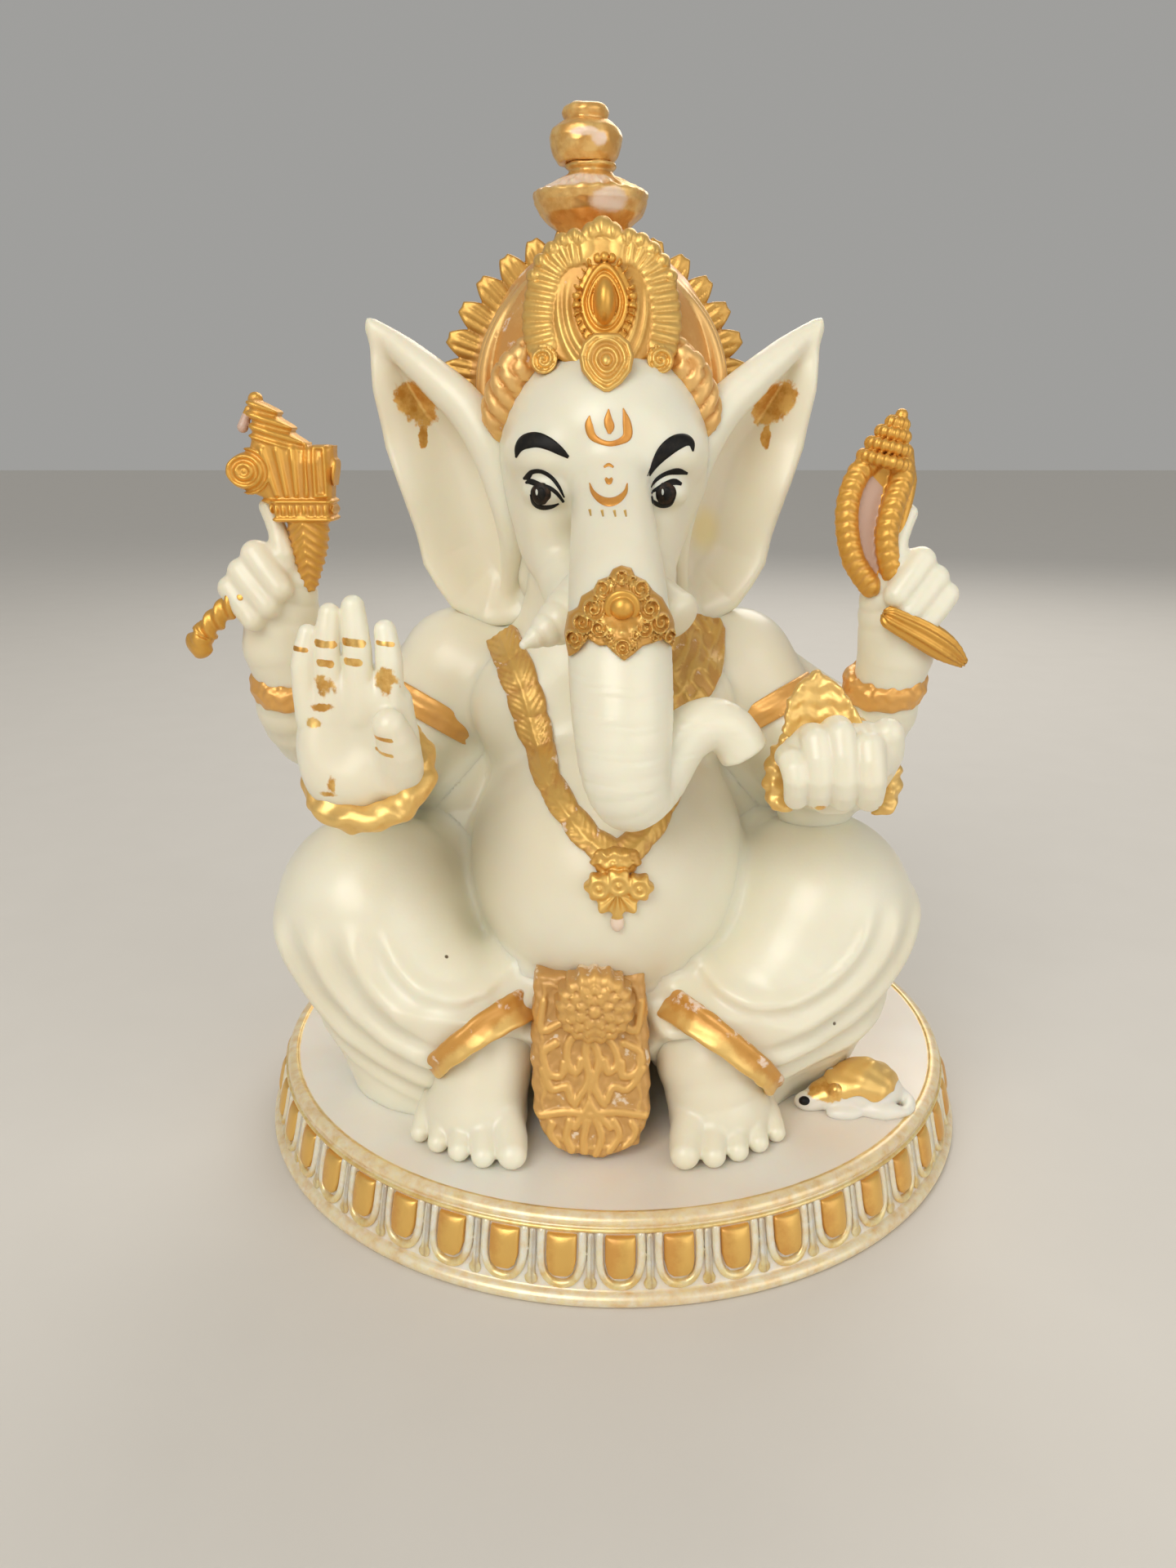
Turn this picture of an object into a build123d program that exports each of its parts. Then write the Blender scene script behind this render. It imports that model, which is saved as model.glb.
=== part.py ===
from build123d import *
from math import atan2, cos, degrees, radians, sin
import os

# Seated four-armed elephant-headed figure on a round plinth, about 150 mm tall.
# Units are millimetres. The origin is the centre of the plinth's underside, +Z is up and
# the figure faces -Y. "Right" and "left" are the figure's own sides: its right is -X.

# ---- Driving dimensions ----
PLINTH_R = 56.0          # widest radius of the plinth, at the foot bead
PLINTH_H = 11.5          # height of the flat disc that the figure sits on
BAND_LOW_R = 54.8        # radius at the bottom of the sloping band
BAND_LOW_Z = 2.1
BAND_TOP_R = 53.0        # radius at the top of the sloping band
BAND_TOP_Z = 9.5
TONGUES = 45             # petals around the band
TONGUE_W = 3.9
TONGUE_H = 5.3
ARCH_GAP = 0.35          # between a petal and the arch around it
ARCH_WALL = 0.6
FIGURE_X = -2.7          # the figure's own symmetry plane stands a little off the plinth's centre
KNEE_OUT = 34.3          # from the figure's plane to the middle of a knee
KNEE_R = 13.0
TOE_R = 1.7
EAR_T = 3.6              # thickness of an ear plate
HAND_W = 14.8            # width of the open palm
FINGER_R = 1.9
FINIAL_R = 8.1           # rim of the finial's bowl
BULB_R = 4.9
TOP_Z = 150.0
AUREOLE_R = 21.0
AUREOLE_SCALLOPS = 15
BAR_SHARE = 0.96         # a limb's bars are this much slimmer than its joint balls


# ---- Helpers ----
def ellipsoid(centre, radii, turn=(0, 0, 0)):
    """A ball stretched to three radii."""
    return Location(centre, turn) * scale(Sphere(1), by=radii)


def aim(origin, direction):
    """A plane at origin whose normal is direction."""
    return Plane(origin=origin, z_dir=direction)


def limb(points, radii, round_start=True, round_end=True):
    """A jointed limb: a ball at each point and a tapered bar between each pair."""
    parts = []
    last = len(points) - 1
    for i, (p, r) in enumerate(zip(points, radii)):
        if (i > 0 or round_start) and (i < last or round_end):
            parts.append(Pos(*p) * Sphere(r))
    for p, q, r, s in zip(points, points[1:], radii, radii[1:]):
        span = Vector(q) - Vector(p)
        bar = Cone(r * BAR_SHARE, s * BAR_SHARE * 0.999, span.length,
                   align=(Align.CENTER, Align.CENTER, Align.MIN))
        parts.append(aim(p, span).location * bar)
    return parts[0].fuse(*parts[1:])


def peg(start, end, radius):
    """A plain round glue peg."""
    span = Vector(end) - Vector(start)
    return aim(start, span) * extrude(Circle(radius), span.length)


def ring(centre, normal, major, minor):
    """A round band."""
    return aim(centre, normal).location * Torus(major, minor)


def biggest(shape, count=1):
    """The largest solids of a shape."""
    found = sorted(shape.solids(), key=lambda s: s.volume, reverse=True)[:count]
    return found[0] if count == 1 else Compound(found)


def mirrored(x):
    """The same distance on the other side of the figure's plane."""
    return 2 * FIGURE_X - x


placed = {}
boxes = {}


def keep(name, shape):
    """Keeps a finished piece under its name, with its bounding box."""
    placed[name] = shape
    boxes[name] = shape.bounding_box()


def place(name, shape, count=1):
    """Cuts the piece back to the outside of every piece already there, and keeps it."""
    box = shape.bounding_box()
    for other, near in boxes.items():
        apart = (
            near.min.X > box.max.X or near.max.X < box.min.X
            or near.min.Y > box.max.Y or near.max.Y < box.min.Y
            or near.min.Z > box.max.Z or near.max.Z < box.min.Z
        )
        if not apart:
            shape = shape - placed[other]
    keep(name, biggest(shape, count))


# ---- Plinth ----
side = Polyline((0, 0), (PLINTH_R - 0.9, 0))
side += ThreePointArc((PLINTH_R - 0.9, 0), (PLINTH_R, 0.9), (PLINTH_R - 0.8, 1.8))
side += Line((PLINTH_R - 0.8, 1.8), (BAND_LOW_R, BAND_LOW_Z))
side += Line((BAND_LOW_R, BAND_LOW_Z), (BAND_TOP_R, BAND_TOP_Z))
side += ThreePointArc((BAND_TOP_R, BAND_TOP_Z), (BAND_TOP_R + 1.1, 10.2), (BAND_TOP_R + 0.5, 11.1))
side += ThreePointArc((BAND_TOP_R + 0.5, 11.1), (BAND_TOP_R - 0.5, 12.0), (51.2, PLINTH_H))
side += Polyline((51.2, PLINTH_H), (0, PLINTH_H), (0, 0))
plinth = revolve(Plane.XZ * make_face(side), Axis.Z)
for x in (-20.0, 14.6):
    plinth += peg((x, 0, PLINTH_H - 1), (x, 0, PLINTH_H + 7), 4.0)
plinth += peg((34.5, -25, PLINTH_H - 1), (34.5, -25, PLINTH_H + 2.2), 1.5)
place("plinth", plinth)

# Petals and the arches around them, made once against the band and then repeated.
band_h = BAND_TOP_Z - BAND_LOW_Z
slope = degrees(atan2(BAND_LOW_R - BAND_TOP_R, band_h))
face_at = Location((0, -(BAND_LOW_R + BAND_TOP_R) / 2, BAND_LOW_Z + band_h / 2), (90 - slope, 0, 0))


def arch_face(width, height):
    """A petal outline: flat at the top and round at the bottom."""
    half = width / 2
    drop = height - half
    line = Polyline((-half, height / 2 - drop), (-half, height / 2), (half, height / 2),
                    (half, height / 2 - drop))
    line += ThreePointArc((half, height / 2 - drop), (0, -height / 2), (-half, height / 2 - drop))
    return make_face(line)


tongue = face_at * Pos(0, 0.65, 0) * extrude(arch_face(TONGUE_W, TONGUE_H), 1.0, both=True)
tongue = biggest(tongue - placed["plinth"])
arch_h = band_h - 0.4
arch_w = TONGUE_W + 2 * ARCH_GAP
arch = extrude(arch_face(arch_w + 2 * ARCH_WALL, arch_h), 0.6, both=True)
arch -= Pos(0, ARCH_WALL, 0) * extrude(arch_face(arch_w, arch_h), 2, both=True)
arch = biggest(face_at * arch - placed["plinth"])
turns = [Rot(0, 0, 360 * i / TONGUES) for i in range(TONGUES)]
keep("plinth_tongues", Compound([t * tongue for t in turns]))
keep("plinth_arches", Compound([t * arch for t in turns]))


# ---- Torso ----
# Seat, belly, chest, neck and back are one casting. The belly leans out over the apron.
torso = ellipsoid((FIGURE_X, 2, 24), (32, 24, 16.5))
torso += ellipsoid((FIGURE_X + 1.2, -14, 46), (21, 24.5, 17.5))
torso += ellipsoid((FIGURE_X, -1, 64), (23, 15.5, 17))
torso += ellipsoid((FIGURE_X, -3, 84), (12.5, 12, 10))
for x in (FIGURE_X - 18, mirrored(FIGURE_X - 18)):
    torso += ellipsoid((x, 1, 70), (10, 9.5, 9))
torso -= Pos(0, 0, PLINTH_H - 25) * Box(160, 160, 50)
torso += peg((FIGURE_X + 1, -6, 86), (FIGURE_X + 1, -6, 97), 5.0)
for x, out in ((FIGURE_X - 25, -1), (mirrored(FIGURE_X - 25), 1)):
    torso += peg((x - 3 * out, 1, 70), (x + 5 * out, 1, 68), 2.5)
place("torso", torso)

# ---- Legs, feet, ankle cuffs ----
for side_name, out in (("right", -1), ("left", 1)):
    def at(distance, y, z):
        return (FIGURE_X + out * distance, y, z)

    leg = limb([at(15, 5, 27), at(28, -7, 35), at(34, -16, 39.5)], [15, 14, 13])
    leg += ellipsoid(at(KNEE_OUT, -17.5, 40), (KNEE_R, KNEE_R, KNEE_R - 0.3))
    leg += limb([at(34, -17, 37), at(26, -24, 31), at(18.5, -29, 24.5)], [12.2, 10.5, 7.4],
                round_end=False)
    leg += ellipsoid(at(26, -16, 19), (12.5, 14, 15))
    leg -= Pos(0, 0, PLINTH_H - 25) * Box(160, 160, 50)
    leg += peg(at(19.3, -29.3, 26), at(17.5, -31.5, 19), 3.0)
    place(side_name + "_leg", leg)

    foot = limb([at(18.3, -29, 25), at(17.4, -33, 19), at(17.0, -34, 15)], [5.6, 5.3, 5.0])
    foot += ellipsoid(at(17, -36.5, 14.4), (7.4, 6.6, 3.6))
    for i in range(5):
        spread = (i - 1.6) * 3.0
        big = TOE_R * (1.25 if i == 0 else 1 - 0.06 * i)
        foot += limb([at(17 + 0.7 * spread, -37.5, 13.9), at(16.8 + spread, -41.6, 13.1)],
                     [big, big * 0.95])
    foot -= Pos(0, 0, PLINTH_H - 25) * Box(160, 160, 50)
    place(side_name + "_foot", foot)

    cuff = ring(at(17.4, -30.9, 24.2), (-out * 0.5, -0.42, -0.76), 7.3, 1.5)
    place(side_name + "_ankle_cuff", cuff)

# ---- Apron between the shins ----
apron_side = Polyline((-24, PLINTH_H), (-40.2, PLINTH_H), (-38.6, 20), (-36.5, 30), (-35.5, 37),
                      (-30, 37), (-24, 30), (-24, PLINTH_H))
apron = extrude(Plane.YZ * make_face(apron_side), 7.7, both=True)
place("apron", Pos(FIGURE_X + 0.2, 0, 0) * apron)
flower = aim((FIGURE_X + 0.2, -35.6, 34), (0, -1, 0.12)).location * Pos(0, 0, 0.2) * Cylinder(4.4, 3)
place("apron_flower", flower)

# ---- Arms ----
place("front_right_arm", limb(
    [(-23, 1, 69), (-31, -2, 62), (-37, -9, 57.5), (-36, -24, 58), (-33.4, -38.5, 61.8)],
    [8.6, 8.0, 7.4, 6.4, 5.6], round_end=False) + peg((-33.6, -38, 61.8), (-33, -41, 66), 2.2))
place("front_left_arm", limb(
    [(17.6, 1, 69), (25.6, -2, 62), (31.6, -9, 57.5), (30.5, -24, 57.5), (27.2, -36, 59.5)],
    [8.6, 8.0, 7.4, 6.6, 6.0], round_end=False) + peg((27.4, -36, 59.3), (26.9, -39, 63.5), 2.4))
place("rear_right_arm", limb(
    [(-22, 4, 71), (-36, 5, 64), (-45, 2, 61), (-49.2, -6, 67), (-49.6, -8.5, 74)],
    [8.4, 7.4, 6.8, 6.0, 5.2], round_end=False) + peg((-49.6, -8, 73), (-49.6, -9, 78), 2.0))
place("rear_left_arm", limb(
    [(16.6, 4, 71), (29, 5, 64), (37.6, 2, 61), (41.6, -6, 67), (41.6, -8.5, 74)],
    [8.4, 7.4, 6.8, 6.0, 5.2], round_end=False) + peg((41.6, -8, 73), (41.6, -9, 78), 2.0))

# ---- Front right hand: an open palm, raised ----
palm = ellipsoid((-32.2, -41.5, 70.5), (HAND_W / 2, 4.0, 9.0))
for x, top, lean in ((-38.0, 84.0, -0.8), (-34.9, 87.0, -0.3), (-31.4, 87.8, 0.1), (-27.0, 85.0, 0.9)):
    palm += limb([(x + 0.4, -42.2, 74.5), (x + lean * 0.4, -41.8, 80), (x + lean, -41.5, top - 1.5)],
                 [FINGER_R * 1.1, FINGER_R, FINGER_R * 0.8])
palm += limb([(-27.5, -42.5, 67), (-27.2, -45, 71), (-28.8, -46, 74.5)], [2.6, 2.2, 1.9])
place("front_right_hand", palm)

# ---- Front left hand: a closed fist on the knee ----
fist = limb([(22.8, -39.7, 67.9), (31.0, -39.7, 67.9)], [4.9, 4.9])
fist += limb([(24.2, -38.8, 64.4), (29.6, -38.8, 64.4)], [4.4, 4.4])
for i in range(4):
    x = 21.4 + 3.6 * i
    fist += limb([(x, -41.8, 71.0), (x, -44.6, 68.4), (x, -44.1, 64.2)], [1.7, 1.85, 1.7])
fist += limb([(33.8, -39.2, 66.4), (34.6, -41.0, 69.4), (33.0, -42.6, 71.9)], [1.9, 1.9, 1.6])
place("front_left_hand", fist)

# ---- Rear hands: fists with the pointing finger up ----
for side_name, x0, out in (("right", -49.4, -1), ("left", 41.7, 1)):
    grip = ellipsoid((x0, -10, 80.0), (6.0, 5.2, 6.2))
    for i in range(3):
        z = 83.0 - 3.1 * i
        grip += limb([(x0 + out * 5.0, -10.5, z), (x0 + out * 2.5, -14.6, z - 0.3),
                      (x0 - out * 1.5, -15.2, z - 0.6)], [1.7, 1.8, 1.5])
    grip += limb([(x0 + out * 2.8, -10, 84), (x0 + out * 3.6, -10.3, 89), (x0 + out * 3.9, -10.6, 93)],
                 [2.0, 1.8, 1.5])
    place("rear_" + side_name + "_hand", grip)

# ---- Bangles and armlets ----
place("front_right_bangle", ring((-33.4, -38.0, 61.9), (0.1, -0.75, 0.5), 6.7, 1.4))
place("front_left_bangle", ring((27.6, -34.5, 59.6), (-0.25, -0.9, 0.35), 7.4, 1.4))
place("rear_right_bangle", ring((-49.5, -7.4, 70.5), (0.1, -0.35, 0.93), 5.9, 1.3))
place("rear_left_bangle", ring((41.7, -7.4, 70.5), (-0.1, -0.35, 0.93), 5.9, 1.3))
place("right_armlet", ring((-30.5, -1.6, 62.6), (-0.75, -0.3, -0.6), 8.4, 1.3))
place("left_armlet", ring((25.1, -1.6, 62.6), (0.75, -0.3, -0.6), 8.4, 1.3))

# ---- Goad in the rear right hand ----
goad = limb([(-46.5, -11, 80.5), (-43.4, -12, 87), (-42.6, -12, 96)], [1.6, 1.8, 3.2],
            round_end=False)
blade = Spline((-46.0, 95.5), (-52.5, 99), (-54.5, 102.5), (-51, 104.5), (-50.5, 108), (-48.5, 111),
               (-45.5, 109), (-40.5, 104.5), (-38.4, 104))
blade += Polyline((-38.4, 104), (-39.6, 95.5), (-46.0, 95.5))
goad += Pos(0, -12, 0) * extrude(Plane.XZ * make_face(blade), 2.6, both=True)
place("goad_head", goad)
place("goad_tail", limb([(-53.6, -13, 82.5), (-56.4, -12.6, 79.5), (-59.2, -12.2, 76.4)],
                        [1.9, 1.7, 1.5]))

# ---- Noose in the rear left hand ----
leaf = Spline((34.6, 84.6), (30.6, 92), (30.8, 100), (37.0, 107.4), (40.6, 101), (39.6, 92), (34.6, 84.6),
              tangents=((-1, 1), (-1, -1)))
eye = Spline((35.4, 89), (33.6, 94), (34.2, 99.5), (37.2, 102), (38.0, 97), (37.3, 92), (35.4, 89),
             tangents=((-1, 1), (-1, -1)))
noose = extrude(Plane.XZ * make_face(leaf), 2.0, both=True)
hollow = extrude(Plane.XZ * make_face(eye), 3.0)
noose -= Pos(0, -0.8, 0) * hollow
noose -= Pos(0, 3.8, 0) * hollow
noose += limb([(37.2, 0, 105), (38.4, 0, 108.2), (38.6, 0, 110)], [2.6, 2.2, 1.2])
noose += limb([(35.2, 0, 88), (36.6, 0.6, 84), (38.6, 1, 80)], [2.2, 1.8, 1.6])
place("noose", Pos(0, -12, 0) * noose)
place("noose_tail", limb([(44.8, -13.4, 80.2), (47.6, -12.8, 77.2), (50.6, -12.2, 74.2)],
                         [1.7, 1.6, 1.3]))

# ---- Head, ears, trunk, tusks, eyes ----
head = ellipsoid((FIGURE_X + 1, -7, 102), (15.5, 17.5, 17))
head += ellipsoid((FIGURE_X + 1.1, -12, 92), (13.5, 14, 13))
for x in (-8.4, 5.2):
    head += ellipsoid((x, -17, 91), (6.6, 8.5, 8.5))
for x, out in ((-14, -1), (11, 1)):
    head += Pos(x, -2, 98) * Box(9, 1.6, 8)
place("head", head)

for side_name in ("right", "left"):
    edge = Polyline((-12, 84), (-12, 108), (-17.8, 110.6))
    edge += Spline((-17.8, 110.6), (-26.5, 115.6), (-34.9, 121.2))
    edge += Spline((-34.9, 121.2), (-34.6, 111.6), (-33.2, 103.8), (-30.9, 96), (-29.2, 88.6),
                   (-26.9, 84.0), (-23.6, 80.4), (-18.5, 79.6), (-12, 84))
    ear = extrude(Plane.XZ * make_face(edge), EAR_T / 2, both=True)
    ear = Pos(0, -2, 0) * ear
    if side_name == "left":
        ear = ear.mirror(Plane.YZ.offset(FIGURE_X - 0.4))
    place(side_name + "_ear", ear)

place("trunk", limb(
    [(-1.2, -19, 97), (-0.8, -28, 96), (-0.5, -36, 91), (-0.2, -42, 83), (0, -45.4, 74), (0.6, -45, 66),
     (3.4, -42, 62), (7.4, -39.5, 65), (10.2, -38.5, 71), (14, -38.5, 74.2), (17.6, -38.5, 72),
     (19, -38.5, 68.6)],
    [6.4, 6.3, 6.4, 6.4, 6.0, 5.2, 4.6, 4.0, 3.2, 2.9, 2.5, 2.2], round_start=False, round_end=False))
place("right_tusk", limb([(-6.0, -25, 85), (-9.0, -31, 80.5), (-11.2, -35.5, 77.5)], [3.0, 2.2, 0.8]))
place("left_tusk_stub", limb([(4.6, -26, 86), (7.6, -33, 82)], [3.0, 2.4], round_end=False))
for name, x in (("right_eye", -9.4), ("left_eye", 6.0)):
    place(name, ellipsoid((x, -21.4, 99), (3.6, 3.0, 1.9)))
place("trunk_band", ring((-0.4, -40.2, 86.6), (0.02, -0.64, -0.77), 6.2, 1.7))
place("trunk_boss", ellipsoid((-0.4, -46.4, 89.4), (2.3, 1.8, 2.3)))

# ---- Crown ----
cap = ellipsoid((FIGURE_X + 0.2, 2.5, 114), (18.5, 17.5, 20))
cap -= Pos(FIGURE_X, 0, 83) * Box(60, 60, 40)
cap += peg((FIGURE_X - 0.8, 4.5, 132), (FIGURE_X - 0.8, 4.5, 137), 2.5)
place("crown_cap", cap)
rim = ThreePointArc((-13, 0), (0, 16.5), (13, 0)) + Polyline((13, 0), (10, -3))
rim += ThreePointArc((10, -3), (0, 3.0), (-10, -3)) + Line((-10, -3), (-13, 0))
diadem = extrude(make_face(rim), 3.2, both=True)
place("crown_diadem", Location((-2.2, -13.8, 115.8), (84, 0, 0)) * diadem)
place("crown_gem", ellipsoid((-2.1, -17.6, 124), (2.9, 1.9, 4.7)))
place("crown_medallion", aim((-1.6, -20.4, 115.6), (0, -1, 0.25)).location * Cylinder(3.9, 3.4))
outline = Circle(AUREOLE_R) - Pos(0, -AUREOLE_R - 2) * Rectangle(60, 2 * AUREOLE_R)
for i in range(AUREOLE_SCALLOPS):
    a = radians(180 * (i + 0.5) / AUREOLE_SCALLOPS)
    outline += Pos(AUREOLE_R * cos(a), AUREOLE_R * sin(a)) * Circle(2.3)
aureole = extrude(outline, 1.6, both=True)
place("crown_aureole", Location((FIGURE_X - 0.5, 5.5, 112), (90, 0, 0)) * aureole)

lathe = Spline((0, 133.2), (3.2, 133.6), (5.0, 135.2), (FINIAL_R, 138.3), (6.6, 140.2), (3.4, 141.3),
               tangents=((1, 0), (-1, 0.25)))
lathe += Polyline((3.4, 141.3), (0, 141.3), (0, 133.2))
bowl = Pos(FIGURE_X - 0.8, 4.5, 0) * revolve(Plane.XZ * make_face(lathe), Axis.Z)
bowl += peg((FIGURE_X - 0.8, 4.5, 141), (FIGURE_X - 0.8, 4.5, 144), 2.0)
place("finial_bowl", bowl)
lathe = Polyline((0, 141.3), (3.4, 141.3))
lathe += Spline((3.4, 141.3), (BULB_R, 143.6), (BULB_R, 146.2), (3.3, 147.8), (3.6, 148.9), (2.2, TOP_Z))
lathe += Polyline((2.2, TOP_Z), (0, TOP_Z), (0, 141.3))
place("finial_bulb", Pos(FIGURE_X - 1.0, 4.5, 0) * revolve(Plane.XZ * make_face(lathe), Axis.Z))

# ---- Necklace, collar patch, pendant ----
place("necklace", limb(
    [(-16.5, -12.5, 80), (-14.8, -18.5, 73.5), (-11.6, -27.5, 65.5), (-7.4, -35, 58), (-2.4, -38.4, 53.6),
     (2.6, -37.6, 56), (8.0, -32, 62.5), (12, -24, 69.5), (13.6, -17.5, 74)],
    [2.2, 2.4, 2.4, 2.5, 2.5, 2.5, 2.4, 2.4, 2.2]), count=1)
place("collar_patch", ellipsoid((10.2, -16.5, 78), (5.2, 4.6, 7.4)))
place("pendant", aim((-0.9, -39.2, 49.2), (0, -1, -0.12)).location * Cylinder(4.0, 4.4))

# ---- Mouse at the left foot ----
mouse = ellipsoid((36.2, -25, 14.6), (6.4, 4.2, 4.4)) + ellipsoid((29.4, -25.4, 13.6), (3.6, 2.8, 2.6))
mouse -= Pos(0, 0, PLINTH_H - 25) * Box(160, 160, 50)
place("mouse", mouse)
place("mouse_saddle", ellipsoid((35.8, -25, 16.6), (4.8, 4.4, 3.5)))

os.makedirs("parts", exist_ok=True)
for name, shape in placed.items():
    export_step(shape, "parts/" + name + ".step")
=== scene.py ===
import math

import bpy
import numpy as np
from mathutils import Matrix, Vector
from mathutils.bvhtree import BVHTree


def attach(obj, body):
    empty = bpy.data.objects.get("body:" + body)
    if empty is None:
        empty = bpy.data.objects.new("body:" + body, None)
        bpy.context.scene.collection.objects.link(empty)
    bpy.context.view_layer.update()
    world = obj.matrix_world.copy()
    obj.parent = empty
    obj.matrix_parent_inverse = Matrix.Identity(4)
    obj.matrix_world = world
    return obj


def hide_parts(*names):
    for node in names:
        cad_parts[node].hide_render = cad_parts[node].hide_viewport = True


# A seated, four-armed, elephant-headed idol in white resin with gold paint, on a round plinth.
# Shapes are in millimetres here and become metres when they turn into meshes.
# The cast pieces are modelled as distance fields: negative inside, positive outside.

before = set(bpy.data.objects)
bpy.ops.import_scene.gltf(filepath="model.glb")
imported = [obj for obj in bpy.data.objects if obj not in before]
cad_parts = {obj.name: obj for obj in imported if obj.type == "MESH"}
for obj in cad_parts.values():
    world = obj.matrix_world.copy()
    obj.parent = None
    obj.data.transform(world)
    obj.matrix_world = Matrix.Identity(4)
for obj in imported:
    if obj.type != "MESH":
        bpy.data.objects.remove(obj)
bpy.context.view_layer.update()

MM = 0.001
FX = -2.7                      # the figure's own middle plane
PLINTH_TOP = 11.3              # a little under the plinth's disc, so that feet sit in it
CLOTH_FOOT = 11.25             # where the legs' cloth ends, also in the disc
GRID = 1.0   # scales every grid's step; above 1 the grids are coarser

F = np.float32


# ---------------------------------------------------------------- distance fields
def ball(p, c, r):
    """A sphere."""
    return np.linalg.norm(p - np.array(c, F), axis=1) - F(r)


def spin(turn):
    """Rotation matrix from degrees about X, then Y, then Z."""
    m = np.eye(3)
    for axis, angle in enumerate(turn):
        a = math.radians(angle)
        c, s = math.cos(a), math.sin(a)
        r = np.eye(3)
        i, j = [(1, 2), (2, 0), (0, 1)][axis]
        r[i, i] = r[j, j] = c
        r[i, j], r[j, i] = -s, s
        m = r @ m
    return m.astype(F)


def local(p, c, turn=None):
    """Points as seen from a place, turned with it."""
    q = p - np.array(c, F)
    return q if turn is None else q @ spin(turn)


def egg(p, c, r, turn=None):
    """An ellipsoid."""
    q = local(p, c, turn)
    r = np.array(r, F)
    k0 = np.linalg.norm(q / r, axis=1)
    k1 = np.linalg.norm(q / (r * r), axis=1) + F(1e-6)
    return k0 * (k0 - 1) / k1


def rod(p, a, b, ra, rb):
    """A straight rod that tapers from one radius to another, with round ends."""
    a, b = np.array(a, F), np.array(b, F)
    ab = b - a
    t = np.clip((p - a) @ ab / max(float(ab @ ab), 1e-6), 0, 1)
    return np.linalg.norm(p - a - t[:, None] * ab, axis=1) - (ra + t * F(rb - ra))


def smooth_path(points, radii, n):
    """Catmull-Rom points with their radii."""
    pts = np.array([(*q, r) for q, r in zip(points, radii)], float)
    pts = np.vstack([2 * pts[0] - pts[1], pts, 2 * pts[-1] - pts[-2]])
    out = []
    for i in range(1, len(pts) - 2):
        a, b, c, d = pts[i - 1:i + 3]
        for k in range(n):
            t = k / n
            out.append(0.5 * (2 * b + (c - a) * t + (2 * a - 5 * b + 4 * c - d) * t * t
                              + (3 * b - a - 3 * c + d) * t ** 3))
    out.append(pts[-2])
    return np.array(out)


def limb(p, points, radii, n=3):
    """Rods end to end along a smooth path."""
    path = smooth_path(points, radii, n)
    d = None
    for a, b in zip(path, path[1:]):
        e = rod(p, a[:3], b[:3], a[3], b[3])
        d = e if d is None else np.minimum(d, e)
    return d


def block(p, c, half, r=0.0, turn=None):
    """A box with rounded edges."""
    q = np.abs(local(p, c, turn)) - (np.array(half, F) - F(r))
    return np.linalg.norm(np.maximum(q, 0), axis=1) + np.minimum(q.max(axis=1), 0) - F(r)


def hoop(p, c, major, minor, turn=None, squash=1.0):
    """A ring about the local Z, its section squashed along Z."""
    q = local(p, c, turn)
    return np.hypot(np.hypot(q[:, 0], q[:, 1]) - F(major), q[:, 2] / F(squash)) - F(minor)


def outline(q, points):
    """Signed distance of 2D points to a closed polygon."""
    pts = np.array(points, F)
    d = np.full(len(q), 1e9, F)
    inside = np.zeros(len(q), bool)
    for a, b in zip(pts, np.roll(pts, -1, axis=0)):
        ab, w = b - a, q - a
        t = np.clip(w @ ab / max(float(ab @ ab), 1e-9), 0, 1)
        d = np.minimum(d, ((w - t[:, None] * ab) ** 2).sum(axis=1))
        crosses = (a[1] > q[:, 1]) != (b[1] > q[:, 1])
        if abs(ab[1]) > 1e-9:
            inside ^= crosses & (q[:, 0] < ab[0] * (q[:, 1] - a[1]) / ab[1] + a[0])
    d = np.sqrt(d)
    return np.where(inside, -d, d)


def join(k, *fields):
    """All of the fields, blended where they meet over about k."""
    d = fields[0]
    for e in fields[1:]:
        h = np.maximum(k - np.abs(d - e), 0) / F(k)
        d = np.minimum(d, e) - h * h * F(k * 0.25)
    return d


def meet(k, a, b):
    """What two fields share, its edge rounded over about k."""
    return -join(k, -a, -b)


def carve(k, a, b):
    """a with b taken away."""
    return -join(k, -a, b)


def step(x, low, high):
    """0 below low, 1 above high, smooth between."""
    t = np.clip((x - low) / (high - low), 0, 1)
    return t * t * (3 - 2 * t)


def bell(x, width):
    """1 at zero, falling off on both sides."""
    return np.exp(-(x / width) ** 2)


def ripple(x, pitch):
    """A wave from 0 to 1, highest at zero."""
    return 0.5 + 0.5 * np.cos(2 * np.pi * x / pitch)


def mirrored(p, o, twice):
    """Points of the left side moved to the right side; twice is double the mirror plane's X."""
    q = p.copy()
    if o > 0:
        q[:, 0] = F(twice) - q[:, 0]
    return q


# ---------------------------------------------------------------- fields to meshes
BLOCK = 8


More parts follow.
